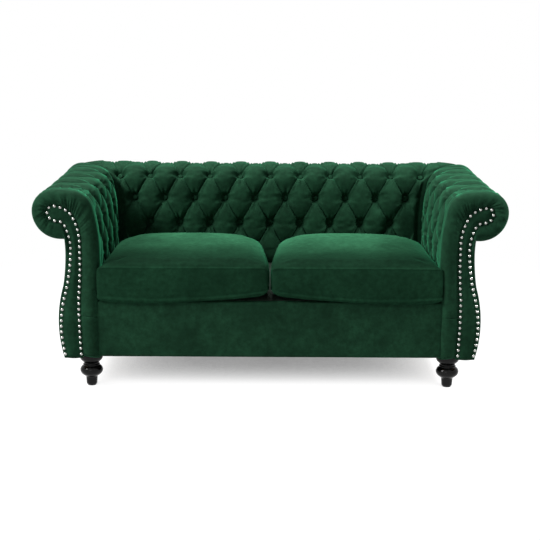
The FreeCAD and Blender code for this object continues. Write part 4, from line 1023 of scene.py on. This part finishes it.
def cushionCover(name, side, node, seed, inset=0):
    # With an inset it makes the core that fills the cover
    form = cushionForm
    lines = cushionLines()
    count = len(lines)
    u, v = np.meshgrid(lines, lines, indexing="ij")
    sign = sideSign[side]
    absU, absV = np.abs(u), np.abs(v)
    halfX = (form["outerMm"] - form["innerMm"]) / 2 - inset
    halfY = (form["backMm"] - form["frontMm"]) / 2 - inset
    middleX = sign * (form["outerMm"] + form["innerMm"]) / 2
    middleY = (form["backMm"] + form["frontMm"]) / 2
    pullX = np.where(v > 0, form["backCornerPull"] * absV**10, form["cornerPull"] * absV**26)
    pullY = np.where(v > 0, form["backCornerPull"] * absU**24, form["cornerPull"] * absU**26)
    gapSide = form["gapDraw"] * np.clip((v + 1) / 1.5, 0, 1) ** 1.2
    inward = np.where(u * sign < 0, gapSide, form["drawSides"] * (1 - v**2) * 0.5)
    x = u * (halfX - pullX - inward)
    drawY = np.where(v < 0, form["drawFront"], form["drawSides"] * 0.5)
    y = v * (halfY - pullY) - v * drawY * (1 - u**2)
    # The front corner swells sideways over the rounded edge of the arm
    outer = smoothStep(u * sign, 0.8, 1.0)
    x = x + sign * form["flare"] * outer * np.exp(-((np.maximum(y + halfY, 0) / 10) ** 1.5))
    # The crown falls slowly to the sides, and the side seams drop towards the back
    fallU = (1 - absU**2.6) ** 0.55
    peak = form["peak"]
    fromPeak = np.clip(np.where(v < peak, (peak - v) / (1 + peak), (v - peak) / (1 - peak)), 0, 1)
    fallV = (1 - fromPeak**2.1) ** np.where(v < peak, 0.62, 1.0)
    # The cloth stands up from the seam before it rolls over
    upright = 0
    for rise, reach in form["edgeRise"]:
        standU, standV = [1 - np.exp(-(1 - a) * half / reach) for a, half in ((absU, halfX), (absV, halfY))]
        upright = upright + rise * standU * standV
    wobble = 1.2 * np.sin(u * 2.1 + seed) * np.sin(v * 2.7 + 0.5 * seed)
    seamTopZ = form["seamTop"] - form["seamFall"] * smoothStep(v, -1.0, 0.35)
    seamTopZ = seamTopZ - form["backFall"] * smoothStep(v, 0.35, 1.0)
    seamTopZ = seamTopZ - form["cornerFall"] * smoothStep(v, 0.1, 1.0) * absU**4
    # The seam stays above the zip, and falls only past its ends
    seamTopZ = np.maximum(seamTopZ, form["aboveZip"] - form["pastZip"] * np.maximum(0, absU - 0.84))
    topZ = seamTopZ + upright + (form["crownTop"] - 17 - seamTopZ + wobble) * fallU * fallV - inset
    # Under the front edge hangs a lip, and the inner front corner stands clear of the deck
    fromFront = y + halfY
    frontLip = np.interp(fromFront, *form["lip"])
    bottomZ = form["seamBottom"] - form["bottomDrop"] * (1 - absU**20) ** 0.5 * (1 - absV**40) ** 0.5
    bottomZ = np.where(fromFront < 16, form["deckTop"] + frontLip * (1 - absU**20), bottomZ)
    gapShare = np.clip(1 - np.abs(middleX + x) / 400, 0, 1)
    lift = form["gapLift"] * gapShare**1.4 * (1 - smoothStep(fromFront, 60, 330))
    frontCorner = absU**30 * (1 - smoothStep(fromFront, 8, 40))
    bottomZ = bottomZ + lift + inset + form["cornerRound"] * frontCorner
    topZ = topZ - 0.5 * form["cornerRound"] * frontCorner
    top, bottom = [pointsOf(middleX + x, middleY + y, z).reshape(-1, 3) for z in (topZ, bottomZ)]
    rim = gridRim(count, count)
    # The band bulges outward from the plan's outline, less at the corners
    edgeU, edgeV = u.reshape(-1)[rim], v.reshape(-1)[rim]
    outward = pointsOf(*[np.where(np.abs(edge) > 0.97, edge, 0) for edge in (edgeU, edgeV)], 0)
    outward = outward / np.linalg.norm(outward, axis=1)[:, None]
    cornerHold = 1 - 0.6 * np.minimum(np.abs(edgeU), np.abs(edgeV)) ** 8
    layers, faces, ringRows = [top], gridFaces(count, count), [rim]
    for number, share in enumerate(form["bandShares"]):
        bulge = form["bandBulge"] * math.sin(math.pi * share)
        layers.append(top[rim] + (bottom - top)[rim] * share + outward * bulge * cornerHold[:, None])
        ringRows.append([len(top) + number * len(rim) + k for k in range(len(rim))])
    bottomStart = len(top) + len(form["bandShares"]) * len(rim)
    ringRows.append([bottomStart + n for n in rim])
    for upper, lower in zip(ringRows[:-1], ringRows[1:]):
        faces += wallFaces(upper, lower)
    faces += gridFaces(count, count, bottomStart, turned=True)
    points = np.concatenate(layers + [bottom]) * mm
    if inset:
        core = makePiece(name, points, faces, cutFoam, side + "_cushion")
        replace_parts(core, node)
        return
    piece = makePiece(name, points, faces, cushionVelvet, side + "_cushion")
    inflate(piece, ringRows[0] + ringRows[-1], form, bottomStart)
    # Seams: a thin groove with a soft roll each side of it
    mesh = piece.data
    mesh.update()
    normals = [vertex.normal.copy() for vertex in mesh.vertices]
    for row, push in form["seamPushes"]:
        for n in ringRows[row]:
            mesh.vertices[n].co += normals[n] * push * mm
    # The cloth lies back behind the zip's tapes
    zipLow, zipHigh = boxMm(side + "_cushion_zip")
    for vertex in mesh.vertices:
        atX, atY, atZ = (c / mm for c in vertex.co)
        behindZip = zipLow[0] - 6 < atX < zipHigh[0] + 6 and zipLow[2] - 2 < atZ < zipHigh[2] + 2
        if behindZip and atY > zipLow[1] - 8:
            vertex.co.y = min(atY, zipLow[1] - 0.6) * mm
    smoother = piece.modifiers.new("smoother", "SUBSURF")
    smoother.levels = 1
    smoother.render_levels = 1
    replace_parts(piece, node)


clothSettings = {
    "quality": 5,
    "mass": 0.25,
    "tension_stiffness": 18,
    "compression_stiffness": 12,
    "shear_stiffness": 8,
    "bending_stiffness": 2.0,
    "use_pressure": True,
    "uniform_pressure_force": cushionForm["pressure"],
    "vertex_group_mass": "seamHold",
}


def vertexPlaces(mesh):
    places = np.zeros(len(mesh.vertices) * 3)
    mesh.vertices.foreach_get("co", places)
    return places.reshape(-1, 3)


def inflate(piece, held, form, bottomStart):
    mesh = piece.data
    start = vertexPlaces(mesh)
    piece.vertex_groups.new(name="seamHold").add(held, 1.0, "REPLACE")
    cloth = piece.modifiers.new("cloth", "CLOTH")
    for key, value in clothSettings.items():
        setattr(cloth.settings, key, value)
    cloth.settings.effector_weights.gravity = 0
    cloth.collision_settings.use_collision = False
    cloth.point_cache.frame_start = 1
    cloth.point_cache.frame_end = form["frames"]
    for step in range(1, form["frames"] + 1):
        scene.frame_set(step)
    end = vertexPlaces(piece.evaluated_get(bpy.context.evaluated_depsgraph_get()).to_mesh())
    piece.modifiers.remove(cloth)
    piece.vertex_groups.clear()
    scene.frame_set(1)
    move = end - start
    far = np.linalg.norm(move, axis=1)
    scale = np.minimum(1, form["capMm"] * mm / np.maximum(far, 1e-9))
    middle = 0.5 * (start[:, 0].min() + start[:, 0].max())
    calm = 1 - 0.85 * smoothStep(np.abs(start[:, 0] - middle), 0.20, 0.262)
    print("loveseat: cushion moved by the cloth run, largest", round(float(far.max() * 1000), 1), "mm")
    # Neighbours hold the sides and the deck holds the bottom
    final = start + move * (scale * calm)[:, None]
    sign = 1 if start[:, 0].mean() > 0 else -1
    fromFront = final[:, 1] * 1000 - form["frontMm"]
    room = form["outerMm"] + 1 + form["flare"] * np.exp(-((np.maximum(fromFront, 0) / 10) ** 1.5))
    final[:, 0] = np.clip(final[:, 0] * sign, (form["innerMm"] - 1) * mm, room * mm) * sign
    final[:, 1] = np.minimum(final[:, 1], (form["backMm"] + 1) * mm)
    onDeck = (np.arange(len(final)) >= bottomStart) & (final[:, 1] * 1000 > form["frontMm"] + 9)
    final[onDeck, 2] = np.maximum(final[onDeck, 2], 0.3064)
    mesh.vertices.foreach_set("co", final.reshape(-1))
    mesh.update()


for side, seed in (("left", 2), ("right", 5)):
    cushionCover(side + "CushionCover", side, side + "_cushion_cover", seed)
    cushionCover(side + "CushionCore", side, side + "_cushion_core", seed, inset=12)
print("loveseat: cushions made")

# Zips: two tapes with a coil between them
zipForm = {"toothPitch": 1.9, "toothReach": 2.6, "toothWide": 1.1, "tapeThick": 1.0, "endPlain": 6, "round": 0.3}


def zipRun(name, side, node):
    (lowX, lowY, lowZ), (highX, highY, highZ) = boxMm(node)
    points, faces = [], []

    def addBox(lowCorner, highCorner):
        (x0, y0, z0), (x1, y1, z1) = lowCorner, highCorner
        faces.extend(ringFaces(3, 4, len(points)))
        r = zipForm["round"]
        for y, inset in ((y0, 0), (y1 - r, 0), (y1, r)):
            left, right, under, over = x0 + inset, x1 - inset, z0 + inset, z1 - inset
            for x, z in ((left, under), (right, under), (right, over), (left, over)):
                points.append((x * mm, y * mm, z * mm))

    middle = (lowZ + highZ) / 2
    tapeY = lowY + zipForm["tapeThick"]
    addBox((lowX, lowY, lowZ), (highX, tapeY, middle - 0.25))
    addBox((lowX, lowY, middle + 0.25), (highX, tapeY, highZ))
    x, down, up = lowX + zipForm["endPlain"], 0.5, zipForm["toothReach"]
    while x < highX - zipForm["endPlain"]:
        addBox((x, tapeY - 0.1, middle - down), (x + zipForm["toothWide"], highY, middle + up))
        x += zipForm["toothPitch"]
        down, up = up, down
    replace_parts(makePiece(name, points, faces, zipTape, side + "_cushion", smooth=False), node)


for side in ("left", "right"):
    zipRun(side + "CushionZip", side, side + "_cushion_zip")
print("loveseat: zips made")

# Turned feet: radius and height of the profile, down from the frame
footForm = {
    "spokes": 56,
    "top": 111.6,
    "profile": (
        (30, 111.8), (38.0, 111.2), (38.6, 109.5), (38.6, 98), (37.8, 94.5), (35.5, 90.5), (31.5, 86.5),
        (28.0, 83.2), (26.2, 80.8), (25.4, 79.0), (25.2, 77.6), (25.8, 76.6), (27.6, 75.6), (28.4, 74.2),
        (27.9, 72.8), (26.8, 72.0), (26.9, 71.2), (29.4, 69.4), (33.2, 66.2), (36.4, 61.8), (38.1, 57.0),
        (38.3, 53.5), (37.4, 48.8), (35.2, 44.4), (31.8, 40.4), (27.4, 36.8), (23.2, 34.0), (20.6, 31.8),
        (19.6, 29.6), (19.3, 26.0), (18.9, 20.0), (18.4, 13.0), (18.0, 8.0), (17.4, 5.2), (16.0, 3.6),
        (14.0, 3.1),
    ),
    "bottom": 3.05,
}
for nodeName in ("front_left_foot", "front_right_foot", "back_left_foot", "back_right_foot"):
    low, high = boxMm(nodeName)
    centreX, centreY = (low[0] + high[0]) / 2, (low[1] + high[1]) / 2
    spokes, rows = footForm["spokes"], len(footForm["profile"])
    points = []
    for radius, up in footForm["profile"]:
        for k in range(spokes):
            turned = 2 * math.pi * k / spokes
            points.append((centreX + radius * math.cos(turned), centreY + radius * math.sin(turned), up))
    faces = ringFaces(rows, spokes, capped=False)
    for up, first in ((footForm["top"], 0), (footForm["bottom"], (rows - 1) * spokes)):
        faces += [(len(points), first + k, first + (k + 1) % spokes) for k in range(spokes)]
        points.append((centreX, centreY, up))
    words = nodeName.split("_")
    footName = "turnedFoot" + words[0].title() + words[1].title()
    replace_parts(makePiece(footName, np.array(points) * mm, faces, blackLacquer), nodeName)
print("loveseat: feet made")

# Rigid parts keep their shape and get their finish
finishes = {
    planedBeech: ["front_rail", "back_rail", "back_top_rail", "corner_blocks"],
    deepBeech: [
        "left_side_rail", "right_side_rail", "left_arm_base", "right_arm_base",
        "left_arm_top_rail", "right_arm_top_rail", "centre_brace",
    ],
    uprightBeech: [
        "left_arm_front_board", "right_arm_front_board", "left_arm_ribs", "right_arm_ribs",
        "back_ribs", "rear_posts",
    ],
    zincSteel: ["seat_springs", "spring_clips", "frame_screws", "foot_bolts", "foot_inserts"],
    nickelNail: ["left_nailheads", "right_nailheads"],
    mouldedNylon: ["foot_glides"],
    castSlider: ["left_zip_slider", "right_zip_slider"],
}
for material, nodeNames in finishes.items():
    for nodeName in nodeNames:
        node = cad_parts[nodeName]
        node.data.materials.clear()
        node.data.materials.append(material)
print("loveseat: rigid parts finished")

# Floor, backdrop and lights
studio = {
    "floorHalf": 9.0,
    "ambient": 0.10,
    "whiteBeyond": (1.3, 2.0),
    "shadowReach": 0.7,
    "shadowFrom": (0.045, 0.24),
    "shadowEase": 0.56,
    "floorGlow": (0.21, 0.965),
    "lamps": {
        "key": {"place": (-4.1, -1.9, 4.1), "aim": (0.1, 0.0, 0.4), "size": 2.0, "watts": 455, "spread": 180},
        "fill": {"place": (-1.2, -4.4, 2.2), "aim": (-0.1, 0, 0.3), "size": 2.0, "watts": 14, "spread": 180},
        "top": {"place": (-0.5, 0.7, 3.0), "aim": (0, -0.1, 0.3), "size": 1.8, "watts": 110, "spread": 180},
        "side": {"place": (2.5, -0.5, 2.2), "aim": (0.9, -0.1, 0.5), "size": 0.6, "watts": 6, "spread": 32},
    },
}
world = bpy.data.worlds.new("studio")
scene.world = world
world.use_nodes = True
worldTree = world.node_tree
worldTree.nodes.clear()


def seenDirect(tree):
    path = addNode(tree, "ShaderNodeLightPath", {}).outputs
    both = mathOf(tree, "MAXIMUM", path["Is Camera Ray"], path["Is Glossy Ray"])
    return mathOf(tree, "MAXIMUM", both, path["Is Transmission Ray"])


def mixOf(tree, share, first, second):
    return addNode(tree, "ShaderNodeMixShader", {0: share, 1: first.outputs[0], 2: second.outputs[0]})


white = {"Color": (1, 1, 1, 1), "Strength": 1.0}
dim = {"Color": hexLinear("#f4f6f8"), "Strength": studio["ambient"]}
skies = [addNode(worldTree, "ShaderNodeBackground", inputs) for inputs in (dim, white)]
mixed = mixOf(worldTree, seenDirect(worldTree), *skies)
addNode(worldTree, "ShaderNodeOutputWorld", {"Surface": mixed.outputs[0]})

floorMaterial, floorTree, floorShader, floorPlace = newMaterial("paleStudioFloor")
floorTree.nodes.remove(floorShader)
# Seen straight on, the floor is white and keeps the shadow near the feet: its glow is dimmed by ambient occlusion, a
# painted shadow under and round the sofa, added to the real lamp shadows on its diffuse part
apart = addNode(floorTree, "ShaderNodeVectorMath", {0: floorPlace}, operation="LENGTH")
farShare = rangeOf(floorTree, apart.outputs["Value"], *studio["whiteBeyond"])
plain, lit = [addNode(floorTree, "ShaderNodeBsdfDiffuse", {"Color": hexLinear(c)}) for c in ("#c8c8c8", "#6a6a6b")]
closeBy = addNode(floorTree, "ShaderNodeAmbientOcclusion", {"Distance": studio["shadowReach"]}, samples=48)
clear = rangeOf(floorTree, closeBy.outputs["AO"], *studio["shadowFrom"])
eased = mathOf(floorTree, "POWER", clear, studio["shadowEase"])
glow = {"Color": (1, 1, 1, 1), "Strength": rangeOf(floorTree, eased, 0.0, 1.0, *studio["floorGlow"])}
nearGlow, farGlow = [addNode(floorTree, "ShaderNodeEmission", inputs) for inputs in (glow, white)]
nearFloor = addNode(floorTree, "ShaderNodeAddShader", {0: lit.outputs[0], 1: nearGlow.outputs[0]})
seen = mixOf(floorTree, farShare, nearFloor, farGlow)
whole = mixOf(floorTree, seenDirect(floorTree), plain, seen)
output = [n for n in floorTree.nodes if n.type == "OUTPUT_MATERIAL"][0]
setInputs(floorTree, output, {"Surface": whole.outputs[0]})
half = studio["floorHalf"]
floorMesh = bpy.data.meshes.new("studioFloor")
floorMesh.from_pydata([(-half, -half, 0), (half, -half, 0), (half, half, 0), (-half, half, 0)], [], [(0, 1, 2, 3)])
floorMesh.materials.append(floorMaterial)
floorObject = bpy.data.objects.new("studioFloor", floorMesh)
scene.collection.objects.link(floorObject)
for lampName, row in studio["lamps"].items():
    lampData = bpy.data.lights.new(lampName + "Lamp", "AREA")
    lampData.shape = "DISK"
    lampData.size = row["size"]
    lampData.energy = row["watts"]
    lampData.spread = math.radians(row["spread"])
    lampObject = bpy.data.objects.new(lampName + "Lamp", lampData)
    lampObject.location = row["place"]
    aim = Vector(row["aim"]) - Vector(row["place"])
    lampObject.rotation_euler = aim.to_track_quat("-Z", "Y").to_euler()
    scene.collection.objects.link(lampObject)
print("loveseat: floor and lights set")
